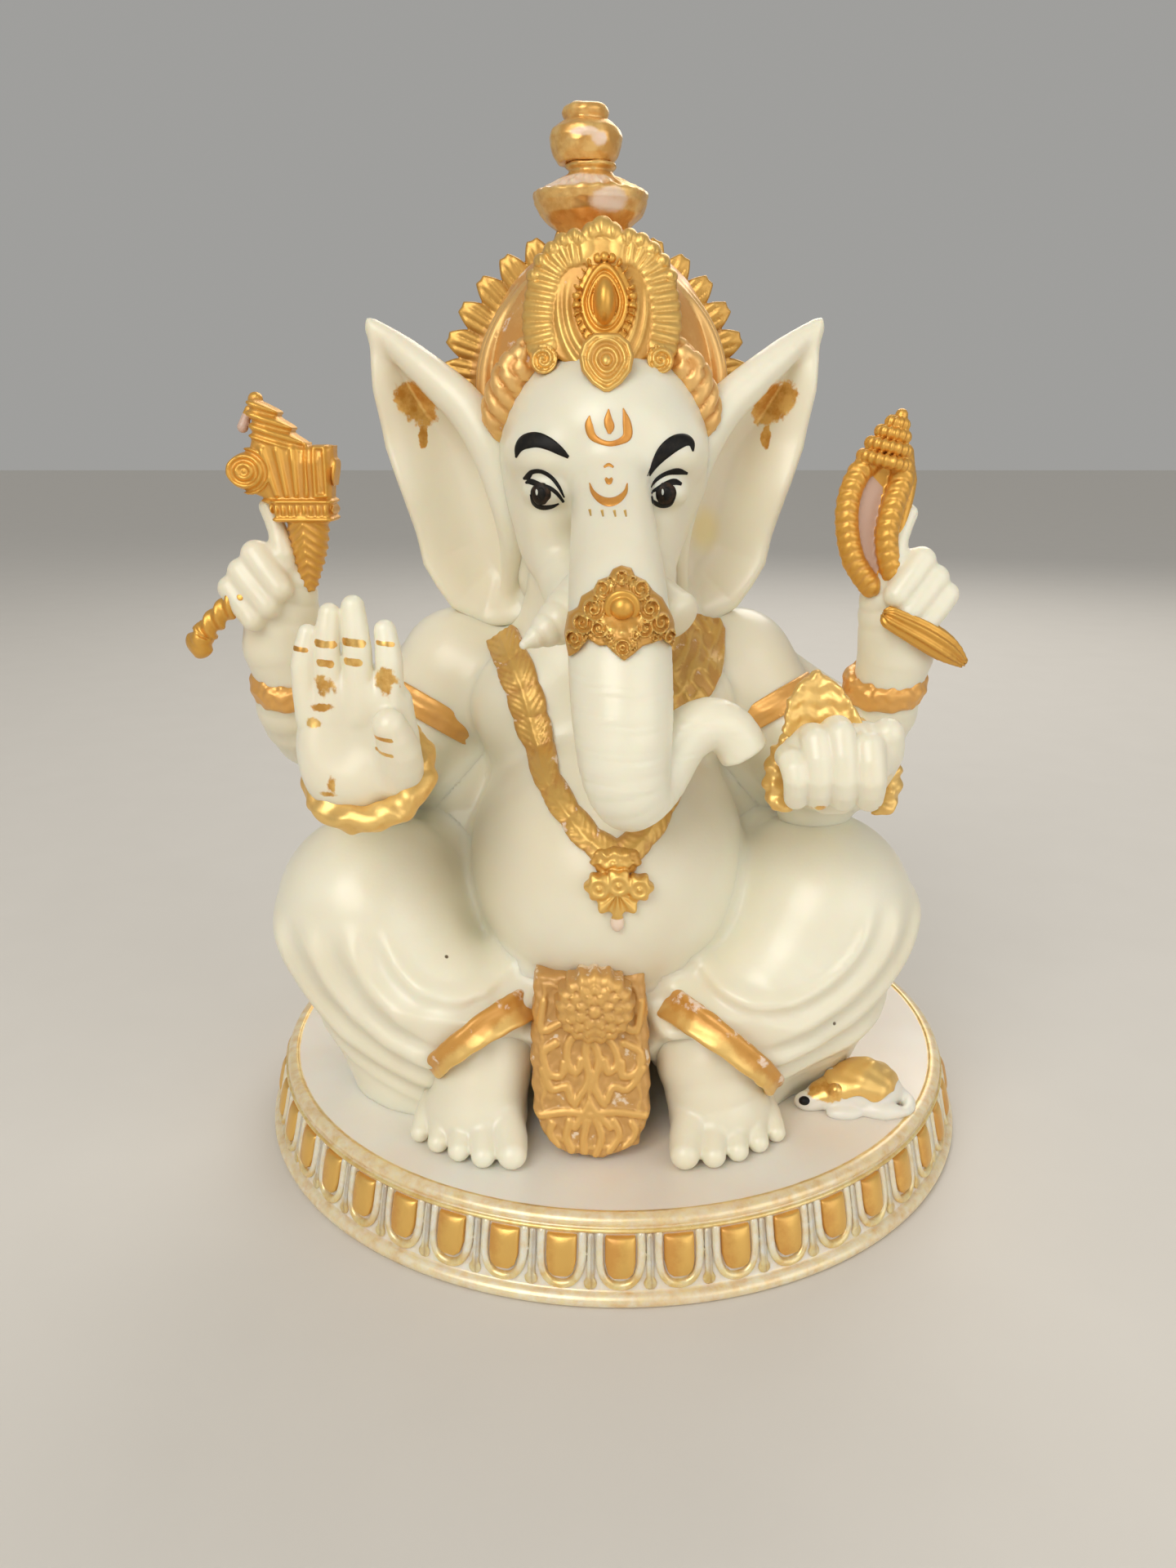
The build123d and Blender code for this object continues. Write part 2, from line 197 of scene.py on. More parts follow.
def net(field, low, high, h):
    """Surface of a field inside a box, as points and quads, with a fine grid only near the surface."""
    h = h * GRID
    low, high = np.array(low, float), np.array(high, float)
    blocks = np.maximum(np.ceil((high - low) / (h * BLOCK)).astype(int), 1)
    mid = (BLOCK - 1) / 2
    centres = np.stack(np.meshgrid(*[low[a] + (np.arange(blocks[a]) * BLOCK + mid) * h for a in range(3)],
                                   indexing="ij"), -1).reshape(-1, 3)
    rough = field(centres.astype(F))
    near = np.abs(rough) < BLOCK * h * 1.25
    offsets = np.stack(np.meshgrid(*[(np.arange(BLOCK) - mid) * h] * 3, indexing="ij"), -1).reshape(-1, 3)
    volume = np.repeat(rough.astype(F)[:, None], BLOCK ** 3, axis=1)
    chosen = np.nonzero(near)[0]
    for part in np.array_split(chosen, max(1, len(chosen) // 400)):
        if len(part):
            points = (centres[part][:, None, :] + offsets[None]).reshape(-1, 3).astype(F)
            volume[part] = field(points).reshape(len(part), -1)
    volume = volume.reshape(*blocks, BLOCK, BLOCK, BLOCK).transpose(0, 3, 1, 4, 2, 5)
    volume = np.ascontiguousarray(volume).reshape(*(blocks * BLOCK))
    volume = np.pad(volume, 1, constant_values=1.0)
    low = low - h
    solid = volume < 0
    corners = [(i, j, k) for i in (0, 1) for j in (0, 1) for k in (0, 1)]
    n = np.array(solid.shape) - 1
    piled = sum(solid[i:i + n[0], j:j + n[1], k:k + n[2]].astype(np.uint8) for i, j, k in corners)
    cells = np.argwhere((piled > 0) & (piled < 8))
    values = np.stack([volume[cells[:, 0] + i, cells[:, 1] + j, cells[:, 2] + k] for i, j, k in corners], 1)
    place = np.zeros((len(cells), 3))
    count = np.zeros(len(cells))
    for a, ca in enumerate(corners):
        for b, cb in enumerate(corners):
            if a < b and sum(abs(x - y) for x, y in zip(ca, cb)) == 1:
                va, vb = values[:, a], values[:, b]
                cross = (va < 0) != (vb < 0)
                t = np.where(cross, va / np.where(cross, va - vb, 1), 0)[:, None]
                spot = np.array(ca) + t * (np.array(cb) - np.array(ca))
                place += np.where(cross[:, None], spot, 0)
                count += cross
    points = low + (cells + place / count[:, None]) * h
    index = np.full(n, -1, np.int32)
    index[tuple(cells.T)] = np.arange(len(cells))
    quads = []
    for axis in range(3):
        u, v = (axis + 1) % 3, (axis + 2) % 3
        shift = [0, 0, 0]
        shift[axis] = 1
        ends = solid[shift[0]:, shift[1]:, shift[2]:]
        starts = solid[:solid.shape[0] - shift[0], :solid.shape[1] - shift[1], :solid.shape[2] - shift[2]]
        edges = np.argwhere(starts != ends)
        edges = edges[(edges[:, u] > 0) & (edges[:, v] > 0)]
        ring = []
        for du, dv in ((1, 1), (0, 1), (0, 0), (1, 0)):
            at = edges.copy()
            at[:, u] -= du
            at[:, v] -= dv
            ring.append(index[tuple(at.T)])
        quad = np.stack(ring, 1)
        flip = ~starts[tuple(edges.T)]
        quad[flip] = quad[flip][:, ::-1]
        quads.append(quad)
    quads = np.concatenate(quads)
    # One step along the gradient puts each point on the surface itself.
    p = points.astype(F)
    e = F(h * 0.25)
    here = field(p)
    slope = np.stack([(field(p + d) - here) / e for d in np.eye(3, dtype=F) * e], 1)
    move = np.clip(here / np.maximum((slope ** 2).sum(1), 0.2), -h * 0.45, h * 0.45)
    return p - move[:, None] * slope, quads


def mesh_object(name, points, faces, smooth=True):
    """A mesh object from points in millimetres and equal-sized faces."""
    mesh = bpy.data.meshes.new(name)
    faces = np.asarray(faces, np.int32)
    mesh.vertices.add(len(points))
    mesh.vertices.foreach_set("co", (np.asarray(points, np.float64) * MM).astype(F).ravel())
    mesh.loops.add(faces.size)
    mesh.loops.foreach_set("vertex_index", faces.ravel())
    mesh.polygons.add(len(faces))
    mesh.polygons.foreach_set("loop_start", np.arange(len(faces), dtype=np.int32) * faces.shape[1])
    mesh.polygons.foreach_set("use_smooth", np.full(len(faces), smooth))
    mesh.update(calc_edges=True)
    mesh.validate()
    obj = bpy.data.objects.new(name, mesh)
    bpy.context.scene.collection.objects.link(obj)
    return obj


def tag(obj, name, values):
    """One number per vertex that the materials read."""
    layer = obj.data.attributes.new(name, "FLOAT", "POINT")
    layer.data.foreach_set("value", np.asarray(values, F))


def finish_piece(obj, material, nodes):
    obj.data.materials.append(material)
    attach(obj, "root")
    if nodes:
        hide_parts(*nodes)
    return obj


def cast(node, field, low, high, h, material, gilt=None, relief=None, stain=None, name=None):
    """A cast piece from its field, in place of a node. gilt, relief and stain are functions of its points."""
    name = name or f"{node}_cast"
    points, quads = net(field, low, high, h)
    obj = mesh_object(name, points, quads)
    if gilt is not None:
        tag(obj, "gilt", gilt(points))
    if stain is not None:
        tag(obj, "stain", stain(points))
    tag(obj, "relief", np.full(len(points), 0.7) if relief is None else relief(points))
    print(name, len(points), flush=True)
    return finish_piece(obj, material, [node])


# ---------------------------------------------------------------- materials
def add(tree, kind, inputs=None, **props):
    """A shader node; inputs maps socket names to values or to other sockets."""
    n = tree.nodes.new(kind)
    for key, value in props.items():
        setattr(n, key, value)
    for key, value in (inputs or {}).items():
        if isinstance(value, bpy.types.NodeSocket):
            tree.links.new(value, n.inputs[key])
        else:
            n.inputs[key].default_value = value
    return n


def maths(tree, op, a, b=0.0, c=0.0, clamp=False):
    return add(tree, "ShaderNodeMath", {0: a, 1: b, 2: c}, operation=op, use_clamp=clamp).outputs[0]


def ramp(tree, value, low, high):
    """0 below low, 1 above high, smooth between."""
    n = add(tree, "ShaderNodeMapRange", {"Value": value, "From Min": low, "From Max": high},
            interpolation_type="SMOOTHSTEP")
    return n.outputs["Result"]


def blend(tree, factor, a, b):
    n = add(tree, "ShaderNodeMix", {"Factor": factor}, data_type="RGBA")
    for socket, value in ((n.inputs[6], a), (n.inputs[7], b)):
        if isinstance(value, bpy.types.NodeSocket):
            tree.links.new(value, socket)
        else:
            socket.default_value = (*value, 1)
    return n.outputs[2]


def noise(tree, where, scale, detail=3.0, rough=0.5):
    n = add(tree, "ShaderNodeTexNoise", {"Vector": where, "Scale": scale, "Detail": detail,
        "Roughness": rough})
    return n.outputs["Fac"]


def start(name):
    mat = bpy.data.materials.new(name)
    mat.use_nodes = True
    tree = mat.node_tree
    tree.nodes.clear()
    where = add(tree, "ShaderNodeTexCoord").outputs["Object"]
    return mat, tree, where


def end(tree, shader):
    out = add(tree, "ShaderNodeOutputMaterial")
    tree.links.new(shader.outputs[0], out.inputs["Surface"])


RESIN_LIGHT, RESIN_DEEP = (0.85, 0.82, 0.67), (0.80, 0.74, 0.57)
GOLD_BRIGHT, GOLD_AMBER, GOLD_BARE = (0.88, 0.58, 0.19), (0.66, 0.33, 0.07), (0.82, 0.64, 0.50)


def resin(name, light=RESIN_LIGHT, deep=RESIN_DEEP, specks=0.5, glow=0.45, soft=0.08, bright=GOLD_BRIGHT,
        amber=GOLD_AMBER, metal=0.75):
    """Waxy marble-dust resin. The gilt attribute lays gold paint over it."""
    mat, tree, where = start(name)
    clouds = noise(tree, where, 38, 3)
    colour = blend(tree, ramp(tree, clouds, 0.35, 0.7), light, deep)
    cell = add(tree, "ShaderNodeTexVoronoi", {"Vector": where, "Scale": 130.0, "Randomness": 1.0})
    dot = maths(tree, "SUBTRACT", 1, ramp(tree, cell.outputs["Distance"], 0.025, 0.045))
    chance = add(tree, "ShaderNodeSeparateColor", {"Color": cell.outputs["Color"]})
    dot = maths(tree, "MULTIPLY", dot, ramp(tree, chance.outputs[0], 1 - 0.14 * specks, 1 - 0.12 * specks))
    colour = blend(tree, dot, colour, (0.13, 0.09, 0.05))
    stain = add(tree, "ShaderNodeAttribute", attribute_name="stain").outputs["Fac"]
    colour = blend(tree, stain, colour, (0.88, 0.74, 0.22))
    gilt = add(tree, "ShaderNodeAttribute", attribute_name="gilt").outputs["Fac"]
    torn = noise(tree, where, 900, 4, 0.6)
    cover = maths(tree, "ADD", gilt, maths(tree, "MULTIPLY", maths(tree, "SUBTRACT", torn, 0.5), 0.7))
    paint = ramp(tree, cover, 0.5 - soft, 0.5 + soft)
    tone = blend(tree, ramp(tree, noise(tree, where, 420, 4, 0.6), 0.35, 0.65), amber, bright)
    colour = blend(tree, paint, colour, tone)
    sheen = noise(tree, where, 260, 4)
    rough = maths(tree, "MULTIPLY_ADD", sheen, 0.16, 0.24)
    grain = add(tree, "ShaderNodeBump", {"Strength": 0.08, "Distance": 0.0002,
        "Height": noise(tree, where, 1500, 4)})
    shader = add(tree, "ShaderNodeBsdfPrincipled", {
        "Base Color": colour, "Roughness": rough, "Metallic": maths(tree, "MULTIPLY", paint, metal),
        "Normal": grain.outputs[0], "Subsurface Weight": glow, "Subsurface Radius": (1.0, 0.62, 0.36),
        "Subsurface Scale": 0.0028, "Coat Weight": 0.12, "Coat Roughness": 0.2})
    end(tree, shader)
    return mat


def gold(name, bright=GOLD_BRIGHT, amber=GOLD_AMBER, bare=GOLD_BARE, lift=0.5, wear=0.1, metal=0.7,
        rough=0.38):
    """Gold paint: bright on what stands up, amber where it is thin, bare resin where it is worn.
    The relief attribute is 1 on what stands up and 0 in the ground between."""
    mat, tree, where = start(name)
    relief = add(tree, "ShaderNodeAttribute", attribute_name="relief").outputs["Fac"]
    patches = noise(tree, where, 160, 4, 0.6)
    fine = noise(tree, where, 900, 4, 0.65)
    mixed = maths(tree, "MULTIPLY_ADD", maths(tree, "SUBTRACT", patches, 0.5), 1.2, relief)
    mixed = maths(tree, "MULTIPLY_ADD", maths(tree, "SUBTRACT", fine, 0.5), 0.5, mixed)
    cover = ramp(tree, mixed, lift - 0.28, lift + 0.28)
    colour = blend(tree, cover, amber, bright)
    worn = maths(tree, "MULTIPLY_ADD", relief, 0.35, noise(tree, where, 300, 5, 0.65))
    thin = maths(tree, "SUBTRACT", 1, ramp(tree, worn, 0.28 + wear, 0.36 + wear))
    colour = blend(tree, thin, colour, bare)
    shine = maths(tree, "MULTIPLY", maths(tree, "MULTIPLY_ADD", cover, 0.55, 0.45), metal)
    shine = maths(tree, "MULTIPLY", shine, maths(tree, "SUBTRACT", 1, thin))
    polish = maths(tree, "MULTIPLY_ADD", fine, 0.25, rough - 0.1)
    flakes = add(tree, "ShaderNodeBump", {"Strength": 0.25, "Distance": 0.00012,
        "Height": noise(tree, where, 1700, 5, 0.7)})
    shader = add(tree, "ShaderNodeBsdfPrincipled", {
        "Base Color": colour, "Roughness": polish, "Metallic": shine, "Normal": flakes.outputs[0],
        "Subsurface Weight": 0.12, "Subsurface Radius": (1.0, 0.5, 0.2), "Subsurface Scale": 0.0015,
        "Coat Weight": 0.15, "Coat Roughness": 0.25})
    end(tree, shader)
    return mat


def ink(name, dark=(0.004, 0.0035, 0.003), light=(0.014, 0.011, 0.007), rough=0.5):
    """Brushed-on dark paint with a slight streak."""
    mat, tree, where = start(name)
    streak = noise(tree, where, 1400, 4, 0.6)
    colour = blend(tree, ramp(tree, streak, 0.4, 0.75), dark, light)
    bump = add(tree, "ShaderNodeBump", {"Strength": 0.2, "Distance": 0.0001, "Height": streak})
    shader = add(tree, "ShaderNodeBsdfPrincipled", {
        "Base Color": colour, "Roughness": maths(tree, "MULTIPLY_ADD", streak, 0.2, rough - 0.1),
        "Normal": bump.outputs[0], "Specular IOR Level": 0.25})
    end(tree, shader)
    return mat


WHITE = resin("white_resin")
WHITE_BASE = resin("white_resin_base", deep=(0.82, 0.77, 0.68), specks=0.8)
GOLD = gold("gold_paint")
GOLD_CROWN = gold("gold_crown", bright=(0.81, 0.51, 0.143), amber=(0.58, 0.30, 0.0558), lift=0.4, wear=0.03)
# The aureole's gold is darker and browner than the crown's: painted shade and a painted reflection of brown
# surroundings.
GOLD_SUN_SHADED = gold("gold_sun_shaded", bright=(0.66, 0.38, 0.09), amber=(0.46, 0.22, 0.04), lift=0.4, wear=0.03)
# Its bare resin colour is darker than the other golds': unpainted resin with painted shade, shown in the
# noose's recessed middle and the goad's chip.
GOLD_TOOL = gold("gold_tool", bright=(0.76, 0.41, 0.078), bare=(0.60, 0.42, 0.33), lift=0.3, wear=-0.05)
GOLD_AMBERED = gold("gold_ambered", bright=(0.80, 0.43, 0.118), amber=(0.68, 0.34, 0.0868), lift=0.5,
    wear=0.12, metal=0.55)
GOLD_CAP = gold("gold_cap", bright=(0.85, 0.52, 0.186), amber=(0.68, 0.33, 0.0806), lift=0.42, wear=0.14,
    metal=0.6)
GOLD_CHAIN = gold("gold_chain", bright=(0.71, 0.44, 0.118), amber=(0.56, 0.29, 0.066), lift=0.4,
    wear=0.14, metal=0.55, rough=0.42)
GOLD_CLOTH = gold("gold_cloth", bright=(0.75, 0.44, 0.13), amber=(0.57, 0.31, 0.09),
    bare=(0.76, 0.60, 0.42), lift=0.55, wear=0.1, metal=0.5, rough=0.42)
GOLD_MARK = gold("gold_mark", bright=(0.75, 0.34, 0.062), amber=(0.58, 0.20, 0.0248), lift=0.45,
    wear=-0.05, metal=0.45)
GOLD_PLINTH = gold("gold_plinth", bright=(0.83, 0.51, 0.136), lift=0.35, wear=0.05)
WASHED = resin("washed_resin", light=(0.87, 0.84, 0.76), deep=(0.84, 0.75, 0.64), specks=0.7, soft=0.42,
               bright=(0.90, 0.70, 0.32), amber=(0.78, 0.50, 0.16), metal=0.45)
FINIAL = resin("finial_paint", light=(0.86, 0.72, 0.58), deep=(0.80, 0.58, 0.42), specks=0.2, soft=0.3,
               bright=(0.86, 0.56, 0.20), amber=(0.70, 0.38, 0.10), metal=0.55)
INK = ink("black_paint")
IRIS = ink("iris_paint", (0.010, 0.006, 0.004), (0.05, 0.025, 0.012))


# ---------------------------------------------------------------- the figure's masses
def torso_core(p):
    belly = egg(p, (-1.2, -13, 46), (20.2, 25, 21))
    chest = egg(p, (-2.2, -3, 67), (20.5, 14.5, 14))
    d = join(5, belly, chest)
    for x in (-11.5, 8.0):
        d = join(4, d, egg(p, (x, -11.5, 68), (9, 6.5, 7.5)))
    for x in (-24.0, 18.6):
        d = join(5, d, egg(p, (x, 0.5, 71.5), (8.3, 8.5, 8.8)))
    d = join(6, d, egg(p, (FX, 7, 56), (21, 13, 26)))
    return join(5, d, limb(p, [(-2.2, -3, 76), (-2.2, -5, 88)], [11.5, 11.0], 1))


def seat(p):
    return meet(1, egg(p, (FX, 3, 24), (30, 23, 16)), PLINTH_TOP - p[:, 2])


def torso(p):
    lap = limb(p, [(FX - 10.5, -23.8, 29), (FX + 10.5, -23.8, 29)], [8.0, 8.0], 1)
    for o in (-1, 1):
        # The flank fills the space behind the forearm down to the thigh.
        flank = limb(p, [(FX + o * 20, 3, 60), (FX + o * 21, -1, 47), (FX + o * 18, -9, 35)],
            [7.5, 8.5, 9.0], 1)
        lap = join(3, lap, flank)
    return join(2.5, torso_core(p), seat(p), lap)


def folds(p, centre, spacing, deep, low, high):
    """Hanging folds: rings about a centre in the XZ plane that fade out past low and high radii."""
    r = np.hypot(p[:, 0] - F(centre[0]), (p[:, 2] - F(centre[1])) * F(1.12))
    wave = 0.5 - 0.5 * np.cos(2 * np.pi * r / spacing)
    down = step(centre[1] + 1 - p[:, 2], 0, 6)
    return deep * wave * step(r, low, low + 3) * (1 - step(r, high - 3, high)) * down


def beside(o):
    """Gives places by their distance from the figure's middle, to its right for o = -1, its left for 1."""
    return lambda distance, y, z: (FX + o * distance, y, z)


def leg(p, o):
    """A folded leg under its draped cloth. o is -1 for the right leg and 1 for the left."""
    at = beside(o)
    thigh = limb(p, [at(20.5, 3, 25.5), at(27, -6, 34.5), at(32.6, -15, 40)], [13.0, 12.5, 11.2], 2)
    knee = egg(p, at(33.4 if o < 0 else 32.0, -17.5, 40.9), (11.6, 12.6, 11.3))
    shin = limb(p, [at(33.5, -19, 39), at(24, -26, 29.8), at(15.2, -29.2, 24.6)],
        [11.0, 9.6, 7.8 if o < 0 else 8.6], 3)
    low = (30.5, -18.5) if o < 0 else (32.6, -13.5)
    drape = limb(p, [at(33.6 if o < 0 else 32.2, -17, 38), at(31.2, -17.5, 26),
        at(low[0] - 4, low[1] + 1, 10)], [11.4, 10.8, 8.8], 2)
    inner = limb(p, [at(22, -23.5, 26), at(20.5, -20.5, 10)], [9, 8.0], 1)
    d = join(5, thigh, knee, shin, drape)
    d = join(4, d, inner)
    if o < 0:
        wave = folds(p, (-21.5, 42), 6.0, 1.35, 8, 33)
        # The cloth spreads out where it meets the plinth.
        d = join(6, d, limb(p, [at(29.5, -19, 10.5), at(27.5, -24.0, 10.5), at(21, -26.5, 10.5)],
            [4.2, 3.6, 3.0], 2))
    else:
        wave = folds(p, (21.0, 44.5), 5.2, 1.1, 11, 33)
    front = step(-p[:, 1], 4, 16)
    d = d - wave * front
    # A few long folds run down the outer back of the cloth.
    angle = np.arctan2(p[:, 0] - F(FX + o * 22), p[:, 1] + 8)
    under = 1 - step(p[:, 2], 18, 36)
    d = d - 0.7 * under * (1 - front) * np.sin(angle * 13)
    # The hem stops short of the ankle.
    d = carve(2.0, d, egg(p, at(14.4, -39.5, 18.2), (10.8, 10.6, 8.8), (0, o * 40, 0)))
    return meet(0.3, d, CLOTH_FOOT - p[:, 2])


def foot(p, o):
    """A bare foot turned outward, its toes in a slanting row."""
    at = beside(o)
    wide = 6.7 if o < 0 else 7.6
    d = limb(p, [at(15.0, -27.0, 27.5), at(15.8, -30.6, 21.5), at(17.0, -32.6, 16)], [wide, wide, 6.6], 2)
    d = join(3, d, egg(p, at(17.6, -33.4, 14.0), (7.4, 5.0, 3.7), (0, 0, o * 24)))
    for x, y, r in ((11.6, -42.6, 2.25), (15.5, -42.3, 1.85), (18.9, -40.9, 1.7), (22.0, -38.9, 1.6),
            (24.8, -36.4, 1.5)):
        back = at(17.4 + (x - 17.4) * 0.74, y + 7.6, 15.6)
        middle = at(17.4 + (x - 17.4) * 0.92, y + 3.2, 14.1)
        toe = limb(p, [back, middle, at(x, y + 0.4, 11.6 + r * 0.9)], [r * 1.2, r * 1.08, r * 0.9], 2)
        d = join(0.7, d, toe)
    return meet(0.4, d, PLINTH_TOP - p[:, 2])


def on_knee(p, d, x):
    """A forearm flattened along its underside, with the pad it rests on above the knee."""
    d = meet(1.5, d, F(61.4) - F(0.325) * (p[:, 1] + 40) - p[:, 2])
    return join(2.0, d, egg(p, (x, -14.5, 53.6), (5.4, 6.4, 4.4)))


def front_right_arm(p):
    d = limb(p, [(-24, 0.5, 70.5), (-30.5, -2, 63), (-36.3, -9, 57.8), (-35.5, -24, 59.4),
        (-33.2, -37.0, 64.0)], [8.6, 8.0, 7.4, 5.6, 4.0])
    return on_knee(p, d, -35.0)


def front_left_arm(p):
    d = limb(p, [(18.6, 0.5, 70.5), (25.5, -2, 63), (31.3, -9, 57.8), (30, -24, 59.6), (27.3, -34.6, 64.4)],
             [8.6, 8.0, 7.4, 5.4, 4.0])
    return on_knee(p, d, 29.0)


def rear_right_arm(p):
    return limb(p, [(-22.5, 4, 71), (-36, 5.5, 63.5), (-45, 2, 61), (-48.4, -5.6, 67.0),
        (-47.9, -7.4, 71.5)], [8.6, 7.6, 7.0, 5.6, 4.3])


def rear_left_arm(p):
    return limb(p, [(17, 4, 71), (29, 5.5, 63.5), (36.8, 2, 61), (40.0, -5.6, 66.4), (39.8, -7.4, 70.8)],
                [8.6, 7.6, 6.7, 5.5, 4.3])


TRUNK = [(-1.1, -16, 104), (-1.0, -22, 99), (-0.8, -28, 93.5), (-0.5, -34.5, 88), (-0.3, -40, 81.5),
         (0.0, -43.5, 74), (0.4, -44.5, 67.5), (1.6, -43.6, 64.6), (4.4, -41.2, 66.0), (7.4, -39.4, 70.3),
         (10.7, -38.5, 72.1), (13.6, -38.2, 70.9), (15.7, -38.2, 67.6)]
TRUNK_R = [5.2, 5.2, 5.5, 6.0, 6.2, 6.0, 5.3, 4.6, 3.7, 3.4, 3.3, 3.2, 3.1]


def trunk_limb(p):
    d = limb(p, TRUNK, TRUNK_R, 3)
    # The tip is cut off square to the trunk.
    return meet(0.5, d, (p - np.array((15.4, -38.2, 68.2), F)) @ np.array((0.5, 0.0, -0.866), F))


def head_core(p):
    d = egg(p, (-1.9, -5, 103), (15.2, 15.5, 16))
    d = join(4, d, egg(p, (-1.6, -11, 106.5), (11.6, 12.8, 9.5)))
    for x, o in ((-9.4, -1), (6.4, 1)):
        d = join(3, d, egg(p, (x, -15.5, 103.6), (5.5, 6.4, 4.2)))
        cheek = x - 0.4 if o < 0 else x - 2.6
        d = join(3, d, egg(p, (cheek + 0.7, -11.6, 95.2), (5.2, 8.6, 8.6)))
        # The cheek runs down and forward into the socket of the tusk.
        root = limb(p, [(cheek + 2.2 * -o, -12, 91.5), (x * 0.66 - 0.6, -18, 87.4),
            (x * 0.56 - 0.4, -25.0, 85.6)], [4.4, 4.2, 3.8], 2)
        d = join(3, d, root)
    d = join(3, d, egg(p, (FX, -3, 87), (12.0, 9.0, 9.5)))
    return d


def head(p):
    d = join(2.2, head_core(p), trunk_limb(p))
    for x in (-9.5, 6.2):
        # An eyeball swells out behind the painted lids.
        d = join(1.2, d, egg(p, (x, -18.7, 98.9), (3.1, 3.2, 2.2)))
    return d


def rooted(member, neighbours, k=3.5):
    """An arm or a leg whose root flows into its neighbours."""
    def field(p):
        a = member(p)
        n = neighbours(p)
        return meet(0.2, join(k, a, n), a - F(k))
    return field


EAR_MIRROR = 2 * FX - 0.9      # twice the X of the plane between the ears


def ear(p, o):
    """A broad ear: a cupped sheet with a rolled rim along its top and inner edge."""
    q = mirrored(p, o, EAR_MIRROR)
    edge = [(-35.2, 121.6), (-34.9, 112), (-33.6, 104.2), (-31.3, 97.4), (-29.7, 92), (-28.7, 87.4),
            (-26.8, 84.2), (-24.6, 81.0), (-20, 78.0), (-12, 79), (-8, 90), (-10, 104), (-17.6, 110.4),
            (-24.0, 114.2), (-28.5, 118.0)]
    flat = outline(q[:, [0, 2]], edge)
    across = np.clip(-flat, 0, 14)
    middle = -1.0 + 4.2 * step(across, 0, 9) - 2.2 * step(q[:, 0], -27, -11)
    middle = middle + 0.5 * np.sin(q[:, 2] * 0.42 + 1.0) * (1 - step(across, 0, 7))
    sheet = meet(1.3, flat, np.abs(q[:, 1] - middle) * F(0.9) - F(1.25))
    rim = limb(q, [(-34.4, -0.6, 120.4), (-30.2, -2.6, 117.2), (-25.4, -4.6, 113.4),
        (-20.8, -6.4, 109.2), (-17.8, -7.6, 103.8), (-16.0, -8.0, 97.5), (-15.0, -6.6, 91.5),
        (-15.5, -3.6, 86), (-16.5, -1.5, 81)], [0.9, 1.9, 2.6, 2.9, 2.7, 2.2, 1.9, 1.5, 1.0], 3)
    return join(1.8, sheet, rim)


def ear_stain(p):
    """A yellowed spot low in the left ear."""
    spot = np.hypot((p[:, 0] - 13.4) / 2.4, (p[:, 2] - 92.4) / 3.6)
    return 0.5 * (1 - step(spot, 0.3, 1.25)) * (p[:, 1] < 2)


def ear_gilt(o):
    def cover(p):
        x = p[:, 0] if o < 0 else EAR_MIRROR - p[:, 0]
        z = p[:, 2]
        blot = 1.25 - np.hypot((x + 29.0) / 3.9, (z - 110.3 + 0.35 * (x + 29)) / 3.6)
        drip = 1.1 - np.hypot((x + 28.2) / 1.1, (z - 105.6) / 2.6)
        front = step(-p[:, 1], -2.2, -1.2)
        return np.clip(np.maximum(blot, drip), 0, 1) * front
    return cover


# ---------------------------------------------------------------- hands
def front_right_hand(p):
    """An open palm held up to the viewer."""
    d = egg(p, (-31.8, -41, 70.4), (7.3, 3.3, 8.6))
    d = join(2.5, d, egg(p, (-35.4, -42.2, 68.6), (3.2, 2.7, 6.0)),
        egg(p, (-31.9, -41.4, 76.0), (6.3, 2.0, 2.6)))
    d = join(2.0, d, rod(p, (-33.0, -38.2, 63.6), (-32.4, -40.4, 66), 3.9, 4.8))
    d = carve(2.5, d, egg(p, (-32.6, -46.6, 73.2), (3.6, 2.6, 4.4)))
    for base, mid, top, r in (((-37.6, 73.8), (-37.8, 80), (-37.0, 83.9), 1.3),
            ((-34.8, 74.0), (-34.8, 82), (-34.3, 86.2), 1.5),
            ((-31.4, 74.0), (-31.2, 82), (-31.5, 87.0), 1.62),
            ((-27.8, 74), (-27.5, 80.5), (-27.9, 84.2), 1.55)):
        d = join(0.6, d, limb(p, [(base[0], -42.0, base[1]), (mid[0], -42.4, mid[1]),
            (top[0], -42.0, top[1])], [r * 1.12, r * 1.04, r * 0.84], 2))
    thumb = limb(p, [(-27.0, -42.0, 66.5), (-26.4, -44.2, 70.2), (-27.3, -45.6, 73.6)], [3.0, 2.5, 2.05], 2)
    return join(1.2, d, thumb)


def hand_gilt(rows, spots):
    """Gold brushed into the creases of a hand, on its front only."""
    def cover(p):
        x, z = p[:, 0], p[:, 2]
        most = np.zeros(len(p))
        for left, right, high, thick in rows:
            bar = np.hypot(np.maximum(np.abs(x - (left + right) / 2) - (right - left) / 2, 0),
                z - high + 0.12 * (x - left))
            most = np.maximum(most, 1.3 - bar / (thick * 2))
        for a, b, across, high in spots:
            most = np.maximum(most, 0.8 - np.hypot((x - a) / across, (z - b) / high) * 0.38)
        return np.clip(most, 0, 1) * step(-p[:, 1], 40.4, 41.6)
    return cover


